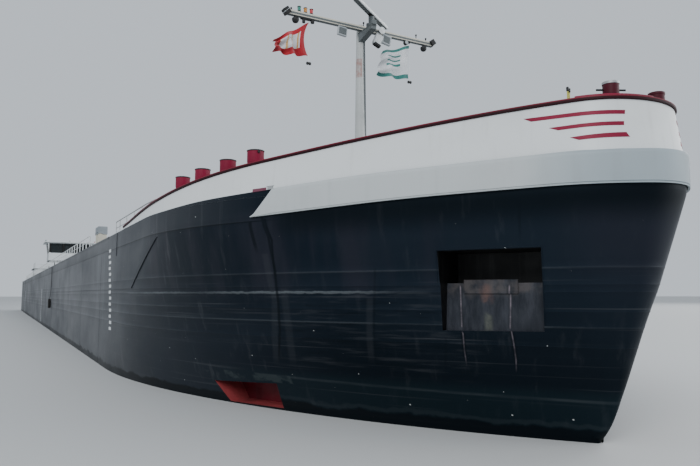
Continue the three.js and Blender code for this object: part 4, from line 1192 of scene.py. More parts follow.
def side_marks():
    """Draught marks, the slanted rub bar with the pipe ahead of it, and the freeing port on each side."""
    pitch, stagger, half_width, height, proud = 20.0, 4, 19, 10, 0.8
    pink, metal, white = range(3)
    for name, side in SIDES:
        marks = Shape()
        for head_x, low, high, slant in DRAUGHT_MARKS:
            for k, z in enumerate(plain_steps(low, high, pitch)):
                x = head_x + (high - z) * slant + (stagger if k % 2 else -stagger)
                columns = [[(x + d, z), (x + d, z + height)] for d in (-half_width, half_width)]
                decal(marks, columns, on_side, side, proud)
        piece(f"draught_marks_{name}", marks, [WHITE], "white_paint")
        trim = Shape()
        shares = [k / 30 for k in range(31)]
        trim.tube([on_side(4506 - 274 * s, 501.7 - 123 * s, side, 1.0) for s in shares], 1.3, 6)
        shares = [k / 8 for k in range(9)]
        trim.tube([on_side(3949 - 3 * s, 559 - 75 * s, side, 0.4) for s in shares], 1.5, 6)
        piece(f"rub_bar_{name}", trim, [NAVY], "hull_navy")
        ports = Shape()
        ports.look = pink
        aft = BELT_END["aft"]
        columns = [[(x, 571.4 + (x - aft) * 0.04), (x, 578.0 + (x - aft) * 0.02)] for x in (aft, 4884, 4899)]
        decal(ports, columns, on_bulwark, side, 0.7)
        ports.look = metal
        columns = [[(x, 573.4), (x, 580.6)] for x in (4902.5, 4908, 4913.5)]
        decal(ports, columns, on_bulwark, side, 1.4)
        ports.look = white
        ports.tube([on_bulwark(x, 581.5, side, 1.0) for x in (4899, 4908, 4916)], 0.8, 6)
        piece(f"freeing_port_{name}", ports, [PORT_PINK, GALVANISED, WHITE], "maroon_paint")


# The frame round an anchor pocket, and the chafing pad inside it, as (along, z)
POCKET_FRAME = ((-96, 380), (-92.5, 437.5), (0, 438), (90, 437.5), (86, 380), (82, 298))
PAD = {"aft": -60, "fore": 37, "foot": 361, "head": 386, "depth": 50}


def pocket_trim():
    """Round each anchor pocket a thin frame, and inside it the chafing pad."""
    plate = 1
    steps = 8
    for name, side in SIDES:
        def skin(u, z, out):
            """The hull's surface met by a line across the pocket's frame."""
            low, high = -90.0, 60.0
            for _ in range(30):
                middle = (low + high) / 2
                x, y, _ = in_pocket(ANCHOR_POCKET, u, z, middle, side)
                low, high = (middle, high) if abs(y) < bow_at(x, z)[0] else (low, middle)
            return in_pocket(ANCHOR_POCKET, u, z, high + out, side)

        shape = Shape()
        path = []
        for (u0, z0), (u1, z1) in zip(POCKET_FRAME, POCKET_FRAME[1:]):
            path += [skin(u0 + (u1 - u0) * k / steps, z0 + (z1 - z0) * k / steps, 0.3) for k in range(steps)]
        shape.tube(path, 0.7, 6)
        rows = []
        for proud, inset in ((-5, 0), (1, 0), (1.8, 1.2)):
            aft, fore = PAD["aft"] + inset, PAD["fore"] - inset
            foot, head = PAD["foot"] + inset, PAD["head"] - inset
            rows.append([in_pocket(ANCHOR_POCKET, u, z, proud - PAD["depth"], side)
                         for u, z in ((aft, foot), (fore, foot), (fore, head), (aft, head))])
        shape.look = plate
        shape.loft(rows)
        piece(f"pocket_trim_{name}", shape, [NAVY, PLATE], "hull_navy")


def side_bulwark():
    """The low bulwark along the decks and round the stern, with a rounded top bar."""
    fore, step = 3768, 40
    line = both_sides(stern_line(fore, step))
    stations = [(x, side * half, nx, side * ny) for side, (x, half, nx, ny) in line]
    section = [(2.2, DECK + GAP), (5.5, DECK + GAP), (5.5, 552), (8, 554), (8.4, 558), (7, EDGE),
               (-0.6, EDGE), (-2, 558.5), (-1.6, 554.5), (0.1, 552), (0.1, DECK + 4.5)]
    shape = Shape()
    strip(shape, stations, lambda x: section)
    piece("side_bulwark_plating", shape, [NAVY], "hull_navy", replaces=["side_bulwark"])


def coamings():
    """Brackets and a rubbing pipe outside the coaming, which stays as it is packed."""
    pipe = {"out": 17, "z": 546, "radius": 1.6}
    bracket = [(15, 512), (22, 512), (19, 561), (15, 561)]
    for name, side in SIDES:
        shape = Shape()
        outline = [(side * (HOLD_HALF + out), z) for out, z in bracket]
        for x in plain_steps(HOLD_AFT + 60, HOLD_FORE, 120):
            shape.prism(outline, x - 1, x + 1, "x")
        y = side * (HOLD_HALF + pipe["out"])
        shape.rod((HOLD_AFT + 5, y, pipe["z"]), (HOLD_FORE - 5, y, pipe["z"]), pipe["radius"])
        piece(f"coaming_brackets_{name}", shape, [CREAM], "cream_paint")


COVER_COUNT = 8
COVER_PITCH = (HOLD_FORE - HOLD_AFT) / COVER_COUNT
COVER = {"thickness": 10, "crown": 34, "overlap": 14, "clearance": 3}
RIB = {"count": 17, "proud": 2.6, "flat": 8, "foot": 13, "margin": 20}
# The end rims, as rows of (distance from the end, how far it stands out)
COVER_RIM = ((0, 0.0), (6, RIB["proud"]), (16, RIB["proud"]), (19, 0.0))
ROLLER = {"from_end": 90, "rise": 7, "radius": 6.5}
LOW_COVER = {"half": 481, "side": 15}
HIGH_COVER = {"half": 500, "side": 34}


def hatch_cover(number):
    """A crowned cover with ribs across it, end rims, lifting eyes and rollers on the coaming."""
    raised = number % 2 == 0
    size = HIGH_COVER if raised else LOW_COVER
    half = size["half"]
    fore = HOLD_FORE - (number - 1) * COVER_PITCH
    reach = COVER["overlap"] if raised else -COVER["clearance"] / 2
    aft_end, fore_end = fore - COVER_PITCH - reach, fore + reach
    foot = COAMING_TOP + GAP
    thick = COVER["thickness"]
    shares = [1 - k / 10 for k in range(21)]

    def top(share, rise=0.0):
        return foot + size["side"] + COVER["crown"] * (1 - share ** 2) + rise * (1 - share ** 12)

    def ring(x, rise):
        outer = [(half * s, top(s, rise)) for s in shares]
        inner = [((half - thick) * s, top(s) - thick) for s in reversed(shares)]
        rows = [(half, foot), *outer, (-half, foot), (thick - half, foot), *inner, (half - thick, foot)]
        return [(x, y, z) for y, z in rows]

    proud, flat, rib_foot = RIB["proud"], RIB["flat"], RIB["foot"]
    stations = [(aft_end + away, rise) for away, rise in COVER_RIM]
    pitch = (fore_end - aft_end - 2 * RIB["margin"]) / RIB["count"]
    for k in range(RIB["count"]):
        centre = aft_end + RIB["margin"] + pitch * (k + 0.5)
        stations += [(centre - rib_foot, 0.0), (centre - flat, proud), (centre + flat, proud),
                     (centre + rib_foot, 0.0)]
    stations += [(fore_end - away, rise) for away, rise in reversed(COVER_RIM)]
    shape = Shape()
    shape.loft([ring(x, rise) for x, rise in stations])
    plate, rubber = 0, 1
    for x in (aft_end + ROLLER["from_end"], fore_end - ROLLER["from_end"]) if raised else ():
        for side in (-1, 1):
            y, z = side * (half + 4), foot + ROLLER["rise"]
            shape.look = rubber
            shape.rod((x, y - side * 4, z), (x, y + side * 3, z), ROLLER["radius"], steps=18)
            shape.look = plate
            shape.box(x - 9, x + 9, half * side, half * side + side * 2, foot + 4, foot + 18)
            share = 0.8 * side
            eye = ellipse((x, top(share) + 1), (5, 4), 8, pi)
            shape.tube([(a, half * share, b) for a, b in eye], 0.9, 6)
    body = f"hatch_cover_{number}" if raised else "hull"
    piece(f"cover_plating_{number}", shape, [ALUMINIUM, RUBBER], "cover_aluminium", body,
          [f"hatch_cover_{number}"])


MAST = {"x": 4534, "foot": 18.5, "head": 10.5, "low": 585, "high": 1152, "pivot": 700}
YARD = {"z": 1135, "aft": 4545.4, "fore": 4558, "half": 7, "length": 496}
RADAR = {"x": 4600, "z": 1154, "length": 220, "turn": 126}
HALYARD_X = (YARD["aft"] + YARD["fore"]) / 2


def mast_step():
    """The tabernacle: two cheeks with rounded heads on a foot plate, gussets and a pin nut each side."""
    x = MAST["x"]
    pivot = MAST["pivot"]
    foot = FOREDECK + 9
    shape = Shape()
    plate_half, inner, outer = 46, 24, 34
    shape.block(x, 0, plate_half, plate_half, FOREDECK + GAP, FOREDECK + 10, 1.5)
    head = ellipse((x, pivot - 4), (28, 26), 12, pi)
    cheek = [(x - 32, foot - 1), (x + 32, foot - 1), (x + 32, pivot - 20), *head, (x - 32, pivot - 20)]
    for _, side in SIDES:
        shape.prism(cheek, side * inner, side * outer, "y")
        shape.rod((x, side * outer, pivot), (x, side * (outer + 5), pivot), 8, steps=6)
        for dx in (-20, 20):
            gusset = [(side * 33, foot), (side * 45, foot), (side * 33, FOREDECK + 60)]
            shape.prism(gusset, x + dx - 1.5, x + dx + 1.5, "x")
        for dx in (-39, 39):
            shape.upright(x + dx, side * 39, foot, foot + 5, 4, 6)
    piece("tabernacle", shape, [CREAM], "cream_paint", replaces=["mast_step"])


def mast_radius(z):
    return MAST["foot"] + (MAST["head"] - MAST["foot"]) * (z - MAST["low"]) / (MAST["high"] - MAST["low"])


def foremast():
    """The tapered mast with its cable pipes, the radar bracket and its pedestal."""
    grey = 1
    x, low, high = MAST["x"], MAST["low"], MAST["high"]
    shape = Shape()
    levels = [low, 586, 640, 700, 800, 900, 1000, 1100, high - 1, high]
    profile = [(mast_radius(z) - (1 if z in (low, high) else 0), z) for z in levels]
    shape.lathe(profile, (x, 0, 0), steps=32)
    pin_half, pin_radius = 23.5, 9
    shape.rod((x, -pin_half, MAST["pivot"]), (x, pin_half, MAST["pivot"]), pin_radius, steps=20)
    shape.look = grey
    for reach, away, radius in ((8, 0.8, 2.2), (13, 0.4, 1.2)):
        pipe = [(x + reach * 0.9, mast_radius(z) * away + 2, z) for z in (740, 850, 950, 1050, 1110)]
        shape.tube(pipe, radius, 10)
    top = YARD["z"]
    bracket = [(x + 4, top - 38), (RADAR["x"] + 12, top - 21), (RADAR["x"] + 12, top - 10), (x + 4, top - 9)]
    shape.prism(bracket, -9, 9, "y")
    shape.box(x - 2, RADAR["x"] + 14, -10, 10, top - 11.5, top - 9.2, 0.5)
    shape.upright(RADAR["x"], 0, top - 14, RADAR["z"] - GAP, 8.5, 20)
    for dx in (-14, 14):
        shape.block(RADAR["x"] + dx, 0, 3, 8, top - 9, top + 4)
    piece("mast_tube", shape, [MAST_PAINT, GREY_AND_UNDER_SHADE], "cream_paint", "foremast", ["foremast"])


def radar():
    """The radar's turning unit and its long scanner, dark below as painted shade and pale along its edges."""
    white, under, black = range(3)
    shape = Shape()
    shape.look = black
    shape.lathe([(7, 0), (8.5, 1), (8.5, 4), (6, 5)], (RADAR["x"], 0, RADAR["z"]), steps=24)
    half = RADAR["length"] / 2
    turn = radians(RADAR["turn"] - 90)
    shape.at = Matrix.Translation((RADAR["x"], 0, RADAR["z"])) @ Matrix.Rotation(turn, 4, "Z")
    section = [(-7, 3), (7, 3), (8.4, 4.4), (9.2, 8), (8, 12), (3, 13), (-3, 13), (-8, 12), (-9.2, 8),
               (-8.4, 4.4)]
    middle = 8
    ends = ((0, 0.75), (3, 0.96), (6, 1))
    stations = [(-half + inset, size) for inset, size in ends]
    stations += [(half - inset, size) for inset, size in reversed(ends)]
    rings = []
    for y, size in stations:
        rings.append([(px * size, y, middle + (pz - middle) * size) for px, pz in section])
    shape.look = white
    # The scanner's bottom face is dark grey as painted shade.
    shape.loft(rings, look=lambda row, k: under if k == 0 else white)
    shape.look = black
    shape.block(0, 0, 6, 16, 1.5, 3.4, 0.5)
    piece("radar_bar", shape, [WHITE, GREY_AND_UNDER_SHADE, BLACK], "white_paint", "radar_scanner", ["radar_scanner"])


# The halyards' weights, and the height from which each cord goes up: (y, weight, cord)
HALYARDS = ((-175, 1000, 1022), (163, 1002, 1012))


def yard():
    """The yard with its lamps, boxes, horn, domes and aerials, and the flags' halyards and weights."""
    looks = [CREAM, GREY_AND_UNDER_SHADE, BLACK, LAMP_CLEAR, LAMP_GREEN, LAMP_AMBER, LAMP_RED, WHITE]
    cream, under, black, clear, green, amber, red, white = range(len(looks))
    # Lamps: place along the yard, look, radius and height
    lamps = ((-229, black, 2.6, 9), (-205, green, 5.4, 17), (-186, amber, 5.4, 17), (-167.5, red, 5.4, 17))
    # Boxes under it: from and to along the yard, foot and head above its middle, look, depth and tilt
    boxes = (
        (-86, -57, -36, -9, clear, 8, -6),
        (-84, -59, -33, -12, under, 9.2, -6),
        (62, 93, -34, -3, clear, 8, -10),
        (66, 89, -30, -8, under, 9.2, -10),
        (36, 60, -42, -6, white, 12, -24),
        (33, 56, -45, -36, black, 13, -24),
    )
    shape = Shape()
    z = YARD["z"]
    half = YARD["length"] / 2
    fore, aft = YARD["fore"], YARD["aft"]
    foot, head = z - YARD["half"], z + YARD["half"]
    section = [(aft, foot + 1), (aft + 1, foot), (fore - 1, foot), (fore, foot + 1), (fore, head - 1),
               (fore - 1, head), (aft + 1, head), (aft, head - 1)]
    # The yard's bottom faces are dark grey as painted shade.
    shape.loft([[(px, y, pz) for px, pz in section] for y in (-half, half)],
               look=lambda row, k: under if k in (0, 1, 2) else cream)
    shape.look = under
    band = [(fore - 0.2, z - 3), (fore + 0.8, z - 3), (fore + 0.8, z + 2), (fore - 0.2, z + 2)]
    shape.prism(band, -half + 8, half - 8, "y")

    def box(y0, y1, low, high, look, depth, tilt):
        """A box at the yard, turned about its own middle."""
        middle = Vector((HALYARD_X + 4, (y0 + y1) / 2, z + (low + high) / 2))
        shape.at = Matrix.Translation(middle) @ Matrix.Rotation(radians(tilt), 4, "X")
        shape.look = look
        wide, tall = (y1 - y0) / 2, (high - low) / 2
        shape.block(0, 0, depth / 2, wide, -tall, tall, 1.2)
        shape.at = Matrix.Identity(4)

    box(-half - 6, -half + 12, -9, 9, black, 18, 38)
    for shift in (-4, 0, 4):
        box(-half - 1 + shift, -half + 4 + shift, shift - 2, shift + 1.5, clear, 19, 38)
    box(half - 11, half + 6, -4, 13, black, 18, 40)
    for y, look, radius, height in lamps:
        lens = radius * 0.86
        profile = [(radius * 0.9, 0), (radius, 0.6), (radius, 3), (lens, 3.2), (lens, height - 3),
                   (radius, height - 2.8), (radius, height - 1), (radius * 0.5, height)]
        shape.lathe(profile, (HALYARD_X, y, head), steps=18, looks=[black] * 3 + [look] + [black] * 3)
    shape.look = black
    dome = [(0.5, -22), (6.6, -20), (9.6, -15), (10, -10), (9.4, -8), (4, -7), (4, 0)]
    for y in (-216, 216):
        shape.lathe(dome, (HALYARD_X, y, z - 5), steps=22)
    shape.rod((HALYARD_X, -191, z - 8), (HALYARD_X, -191, z - 21), 4.5)
    shape.rod((HALYARD_X, -164, z - 8), (HALYARD_X, -164, z - 17), 5.5)
    shape.box(HALYARD_X - 5, HALYARD_X + 5, -200, -158, z - 11, z - 7)
    for row in boxes:
        box(*row)
    shape.look = under
    shape.rod((HALYARD_X + 2, 58, z + 4), (HALYARD_X + 16, 56, z + 2), 5, 9.5, steps=22)
    shape.look = white
    shape.lathe([(9.5, 0), (10.6, 0.6), (10.6, 2.2), (9, 2.6)], (HALYARD_X + 15, 56, z + 2), (1, 0, 0), 22)
    y, low = 147.5, z - 14
    shape.look = black
    shape.rod((HALYARD_X, y, low), (HALYARD_X + 9, y, low), 7, steps=20)
    shape.look = clear
    shape.rod((HALYARD_X + 8, y, low), (HALYARD_X + 10.5, y, low), 5.6, steps=20)
    shape.look = black
    for y, height in ((188.5, 18), (224.9, 14), (2, 18)):
        shape.upright(HALYARD_X, y, z + 6, z + height, 1.3, 8)
        shape.upright(HALYARD_X, y, z + height - 1, z + height + 4, 2.6, 10)
    lobe = [(1, -4.6), (3.4, -3), (4.2, 0), (3.4, 3), (1, 4.6)]
    for y, weight, low in HALYARDS:
        shape.look = white
        shape.tube([(HALYARD_X, y, weight), (HALYARD_X, y, low), (HALYARD_X, y, z - 6)], 0.7)
        shape.look = black
        for dy in (-3.6, 3.6):
            shape.lathe(lobe, (HALYARD_X, y + dy, weight), steps=16)
        shape.upright(HALYARD_X, y, z - 12, z - 5, 2.4, 10)
    piece("yard_fittings", shape, looks, "cream_paint", "foremast", ["mast_yard"])


# Flags: corners in the yard's plane as (y, z), how deep the middle of the hoist is pulled in, and the ripple
FLAGS = {
    "starboard": {"head": (-172.5, 1120), "foot": (-177, 1021.5), "fly_head": (-277, 1052),
                  "fly_foot": (-280, 1019), "notch": 15, "ripple": 9.0, "turns": 1.7, "lean": 0.9},
    "port": {"head": (163.5, 1117), "foot": (159, 1012.5), "fly_head": (62, 1079), "fly_foot": (53, 1009),
             "notch": 4, "ripple": 8.0, "turns": 1.35, "lean": 0.5},
}


def flag_point(flag, u, v):
    """A point of the cloth: u runs from hoist to fly and v from foot to head."""
    foot = Vector(flag["foot"]).lerp(Vector(flag["fly_foot"]), u)
    head = Vector(flag["head"]).lerp(Vector(flag["fly_head"]), u)
    y, z = foot.lerp(head, v)
    y -= flag["notch"] * sin(pi * v) ** 0.7 * (1 - u) ** 3
    phase = 2 * pi * (flag["turns"] * u + flag["lean"] * (1 - v) * u)
    swell = min(1.0, u * 2.6)
    crush = 1 + 1.5 * u
    x = HALYARD_X + flag["ripple"] * swell * sin(phase)
    x += 2.6 * crush * u * sin(2 * pi * (2.3 * v + 0.8 * u))
    z += 2.2 * swell * cos(phase) - 5 * sin(pi * u) * (1 - v)
    return (x, y, z)


def flags():
    """Two bunting flags of plain bands, hung by their hoists and rippling to starboard."""
    across, up = 84, 64
    red, white, gold = range(3)
    green = 0

    def starboard_look(u, v):
        if not (0.2 < u < 0.82 and 0.26 < v < 0.80):
            return red
        return gold if int(u * 21) % 4 == 1 else white

    def port_look(u, v):
        bars = 0.72 < v < 0.77 or 0.58 < v < 0.63 or 0.40 < v < 0.48
        edge = v < 0.13 or v > 0.90
        return green if edge or (0.3 < u < 0.8 and bars) else white

    for name, look, looks, slot in (
        ("starboard", starboard_look, [RED_CLOTH, WHITE_CLOTH, GOLD_CLOTH], "red_flag_cloth"),
        ("port", port_look, [GREEN_CLOTH, WHITE_CLOTH], "green_flag_cloth"),
    ):
        flag = FLAGS[name]
        shape = Shape()
        rings = [[flag_point(flag, i / across, j / up) for j in range(up + 1)] for i in range(across + 1)]
        shape.loft(rings, closed=False, caps=False,
                   look=lambda row, k, choose=look: choose((row + 0.5) / across, (k + 0.5) / up))
        made = piece(f"flag_cloth_{name}", shape, looks, slot, "foremast", [f"flag_{name}"], smooth=180)
        middle = [Vector(ring[up // 2]) for ring in rings]
        width = sum((a - b).length for a, b in zip(middle, middle[1:])) * MM


def hooded_bollard(shape, x, y, base, height):
    """A drum bollard: foot flange, post, flared hood with a dark rim, and a small lip on its fore side."""
    post, cap = 15.5, 18.5
    red, black = 0, 1
    shape.look = red
    profile = [(cap + 3, 0), (cap + 4, 1), (cap + 4, 4), (cap + 1, 5), (post + 2, 6), (post, 10),
               (post, height - 34), (post + 1.5, height - 31), (cap - 0.6, height - 28), (cap, height - 26),
               (cap, height - 3), (cap + 0.9, height - 2.4), (cap + 0.9, height - 0.6), (cap - 1, height),
               (cap - 2.4, height - 1.5), (1, height - 1)]
    shape.lathe(profile, (x, y, base), steps=36, looks=[red] * 10 + [black] * 3 + [red] * 2)
    shape.box(x + cap - 2, x + cap + 2.5, y - 7, y + 7, base + height - 36, base + height - 32, 1)


FORE_BOLLARDS = ((4450, 490, 107.5), (4580, 474, 107.5), (4710, 452, 108.2), (4810, 422, 114))
BOW_BOLLARD = {"x": 5443, "y": 57, "radius": 12.8, "top": 139, "pin": 126, "along": 11, "across": 21.5}
DOUBLE_BOLLARD = {"y": 538, "length": 104, "width": 36, "base": 8, "spread": 32, "post": 12, "cap": 15,
                  "top": 66}


def fore_bollards(name, side):
    """Hooded bollards along one side of the foredeck; the foremost has two pins."""
    shape = Shape()
    for x, y, height in FORE_BOLLARDS:
        hooded_bollard(shape, x, side * y, FOREDECK + GAP, height - GAP)
    middle, head = FOREDECK + height * 0.5, FOREDECK + height - 6
    black = 1
    shape.look = black
    shape.rod((x - 10, side * (y + 12), middle), (x - 14, side * (y + 19), middle), 3, steps=12)
    shape.rod((x + 12, side * y, head), (x + 22, side * y, head), 3, steps=12)
    piece(f"hooded_bollards_{name}", shape, [CRIMSON, BLACK], "crimson_paint",
          replaces=[f"fore_bollards_{name}"])


def double_bollards(name, side):
    """The double bollards on one side deck and at the stern."""
    size = DOUBLE_BOLLARD
    post, cap, top = size["post"], size["cap"], size["top"]
    y = side * size["y"]
    profile = [(14, 7), (14, 10), (post, 13), (post, top - 12), (cap, top - 8), (cap, top - 2),
               (cap - 2, top)]
    for place, x in (("side", 0), ("stern", -5150)):
        shape = Shape()
        shape.block(x, y, size["length"] / 2, size["width"] / 2, DECK + GAP, DECK + size["base"], 1.5)
        for shift in (-size["spread"], size["spread"]):
            shape.lathe(profile, (x + shift, y, DECK), steps=28)
        piece(f"double_bollards_{place}_{name}", shape, [CRIMSON], "crimson_paint",
              replaces=[f"{place}_bollards_{name}"])


def bow_bollards():
    """The pair in the bow on one plate, with slanted pins; the starboard one has a bare metal head."""
    red, black, metal = range(3)
    shape = Shape()
    x, radius, top = BOW_BOLLARD["x"], BOW_BOLLARD["radius"], BOW_BOLLARD["top"]
    half = BOW_BOLLARD["y"] + 14
    shape.box(x - 30, x + 18, -half, half, FOREDECK + GAP, FOREDECK + 8, 1.5)
    pin = FOREDECK + BOW_BOLLARD["pin"]
    profile = [(radius + 4, 6), (radius + 4, 9), (radius, 13), (radius - 1, 40), (radius - 1, top - 40),
               (radius, top - 36), (radius, top - 5), (radius + 0.7, top - 4.4), (radius + 0.7, top - 0.6),
               (radius - 0.6, top), (radius - 2, top - 1), (1, top - 1)]
    for _, side in SIDES:
        y = side * BOW_BOLLARD["y"]
        head = metal if side < 0 else red
        shape.lathe(profile, (x, y, FOREDECK), steps=36, looks=[red] * 7 + [head] * 4)
        shape.look = black
        ahead, out = BOW_BOLLARD["along"], side * BOW_BOLLARD["across"]
        shape.rod((x - ahead, y + out, pin), (x + ahead, y - out, pin), 1.6, steps=12)
        shape.look = red
    piece("pin_bollards", shape, [WINE, BLACK, GALVANISED], "crimson_paint", replaces=["bow_bollards"])


def bow_trim():
    """The raised chock on the rail at the tip, and two slim posts behind the rail."""
    shape = Shape()
    line = [row for row in bow_line(FOREDECK, blunt=True) if row[0] > 5424]
    for side in (-1, 1):
        rings = []
        for x, half, angle in line[:-1] if side < 0 else line[:-5]:
            top = bulwark_top(x) + CAP["height"]
            inset = BULWARK["lean"] * (top - FOREDECK)
            outline = [(inset + 1, top - 1), (inset + 1.6, top + 2.4), (inset + 2.6, top + 3.4),
                       (inset + 9, top + 3.4), (inset + 10, top + 2.4), (inset + 10.6, top - 1)]
            rings.append([(x - sin(angle) * i, side * (half - cos(angle) * i), z) for i, z in outline])
        shape.loft(rings)
    piece("bow_chocks", shape, [CRIMSON], "crimson_paint")
    shape = Shape()
    yellow, black = 0, 1
    x, y, height = 5389, -93, 700
    shape.upright(x, y, FOREDECK + GAP, FOREDECK + 5, 6, 12)
    for lean in (-4.4, 4.4):
        head = Vector((x + lean * 0.5, y - lean, height))
        foot = Vector((x + lean * 0.1, y - lean * 0.2, FOREDECK + 2))
        neck = foot.lerp(head, 0.95)
        shape.look = yellow
        shape.rod(foot, neck, 1.3, steps=12)
        shape.look = black
        shape.rod(neck, head, 2.2, steps=12)
    piece("marker_posts", shape, [YELLOW, BLACK], "machine_black")


WINDLASS = {"x": 5040, "rise": 48, "cheek": 89, "bar": 82, "pipe": 70}


def windlass():
    """The anchor windlass: cheeks, drums with flanges, gear case, motor, brake wheels, and its two chains."""
    x, z = WINDLASS["x"], FOREDECK + WINDLASS["rise"]
    along_y = (0, 1, 0)
    shape = Shape()
    shape.block(x, 0, 50, 110, FOREDECK + GAP, FOREDECK + 9, 1.5)
    head = ellipse((x, z), (16, 16), 8, pi)
    cheek = [(x - 26, FOREDECK + 8), (x + 26, FOREDECK + 8), (x + 20, z), *head, (x - 20, z)]
    for y in (-WINDLASS["cheek"], WINDLASS["cheek"]):
        shape.prism(cheek, y - 6, y + 6, "y")
    shape.box(x - 46, x - 22, 60, 104, FOREDECK + 8, FOREDECK + 40, 2)
    shape.rod((x - 34, 20, FOREDECK + 26), (x - 34, 60, FOREDECK + 26), 11, steps=24)
    for y in (-100, 104):
        shape.lathe([(5, 0), (13, 0.5), (13, 2.5), (5, 3)], (x + 30, y, FOREDECK + 40), along_y, 24)
        shape.upright(x + 30, y, FOREDECK + 9, FOREDECK + 40, 2.4)
    piece("windlass_stand", shape, [BELT], "belt_grey", replaces=["windlass_frame"])
    drum = Shape()
    drum.rod((x, -WINDLASS["bar"], z), (x, WINDLASS["bar"], z), 12, steps=24)
    flange = [(12, -5), (27, -5), (30, -3.5), (30, -1.6), (25, -0.6), (25, 0.6), (30, 1.6), (30, 3.5),
              (27, 5), (12, 5)]
    for y in (-70, -30, 30, 70):
        drum.lathe(flange, (x, y, z), along_y, 32)
    wire_turns, wire_pitch = 9, 2.6
    for y in (-50, 50):
        for k in range(wire_turns):
            place = (x, y - 12 + k * wire_pitch, z)
            drum.lathe([(14.6, 0), (16, 1.2), (14.6, 2.4), (12, 1.2)], place, along_y, 24)
    piece("windlass_drums", drum, [BLACK], "machine_black", "windlass_drum", ["windlass_drum"])
    deck = Shape()
    link = [(a, 0, b) for a, b in ellipse((0, 0), (5.6, 3.4), 12)]
    links = 9
    for _, side in SIDES:
        y = side * WINDLASS["pipe"]
        deck.lathe([(13, 0), (13, 4), (11, 7), (8, 7), (8, 1)], (x + 95, y, FOREDECK + GAP), steps=24)
        for k in range(links):
            share = k / (links - 1)
            middle = Vector((x + 26 + 70 * share, y, z + 12 - 40 * share - 14 * sin(pi * share)))
            turn = Matrix.Rotation(radians(90 * (k % 2)), 4, "X")
            deck.at = Matrix.Translation(middle) @ turn
            deck.tube(link, 1.1, 6)
            deck.at = Matrix.Identity(4)
    piece("chain_pipes", deck, [BLACK], "machine_black")


def foredeck():
    """A forepeak hatch, mushroom vents and roller fairleads on the foredeck."""
    base = FOREDECK + GAP
    lid = base + 42
    shape = Shape()
    shape.box(4640, 4760, -70, 70, base, lid, 2)
    shape.box(4634, 4766, -76, 76, lid, lid + 8, 2.5)
    for y in (-60, 0, 60):
        shape.rod((4768, y - 7, lid + 4), (4768, y + 7, lid + 4), 2.6)
    for x in (4668, 4732):
        shape.tube([(x + dx, 0, lid + rise) for dx, rise in ((-10, 7), (-10, 14), (10, 14), (10, 7))], 1.3)
    piece("forepeak_hatch", shape, [CREAM], "cream_paint")
    shape = Shape()
    vent = [(12, 0), (12, 3), (8, 4), (8, 40), (15, 42), (17, 47), (14, 54), (6, 58), (1, 59)]
    roller = [(8, 5), (8, 8), (6, 10), (6, 24), (8.5, 26), (8.5, 29), (4, 30)]
    for x, y in ((4880, -210), (4880, 210), (4340, -330), (4340, 330)):
        shape.lathe(vent, (x, y, base), steps=28)
    for _, side in SIDES:
        x, y = 5180, side * 190
        shape.block(x, y, 26, 10, base, base + 6)
        for dx in (-15, 15):
            shape.lathe(roller, (x + dx, y, base), steps=24)
    piece("foredeck_vents", shape, [GALVANISED], "belt_grey")


def rail_run(shape, start, end, height, gap, radius=1.6):
    """A rail on posts with a wire at half height, from start to end at deck height."""
    start, end = Vector(start), Vector(end)
    count = max(1, round((end - start).length / gap))
    up = Vector((0, 0, height))
    post_share, wire_share, wire_size = 0.985, 0.52, 0.55
    for k in range(count + 1):
        foot = start.lerp(end, k / count)
        shape.rod(foot, foot + up * post_share, radius, steps=8)
    shape.rod(start + up, end + up, radius, steps=8)
    shape.rod(start + up * wire_share, end + up * wire_share, radius * wire_size, steps=6)


def railings():
    """Railings along the side decks, and short ones between the hold and the bulwark's ends."""
    fore_end, head = 3862, 603
    deck = FOREDECK + GAP
    feet = ((fore_end, deck), (3936, deck), (4058, deck), (4185, 590), (4300, 598))
    tops = ((fore_end, head), (4110, head), (4360, head), (4470, 600))
    for name, side in SIDES:
        shape = Shape()
        y = side * 569
        rail_run(shape, (-3800, y, EDGE + GAP), (3200, y, EDGE + GAP), 48, 125, 2.0)
        piece(f"side_rail_{name}", shape, [WHITE], "white_paint", replaces=[f"side_railing_{name}"])
        shape = Shape()
        y = side * 563
        shape.tube([(x, y, z) for x, z in tops], 1.6, 8)
        shape.tube([(fore_end, y, 582), (4110, y, 582)], 1.0, 6)
        for x, z in feet:
            shape.upright(x, y, z, head, 1.3, 8)
        piece(f"shoulder_rail_{name}", shape, [GALVANISED], "white_paint")


BLADES = {"count": 4, "root": 10, "length": 72.5, "chord": 26, "thick": 3.2, "twist": 62, "untwist": 36}
RUDDER = {"behind": 130, "half_chord": 62, "thick": 5.2, "stock": 28, "head": 184}


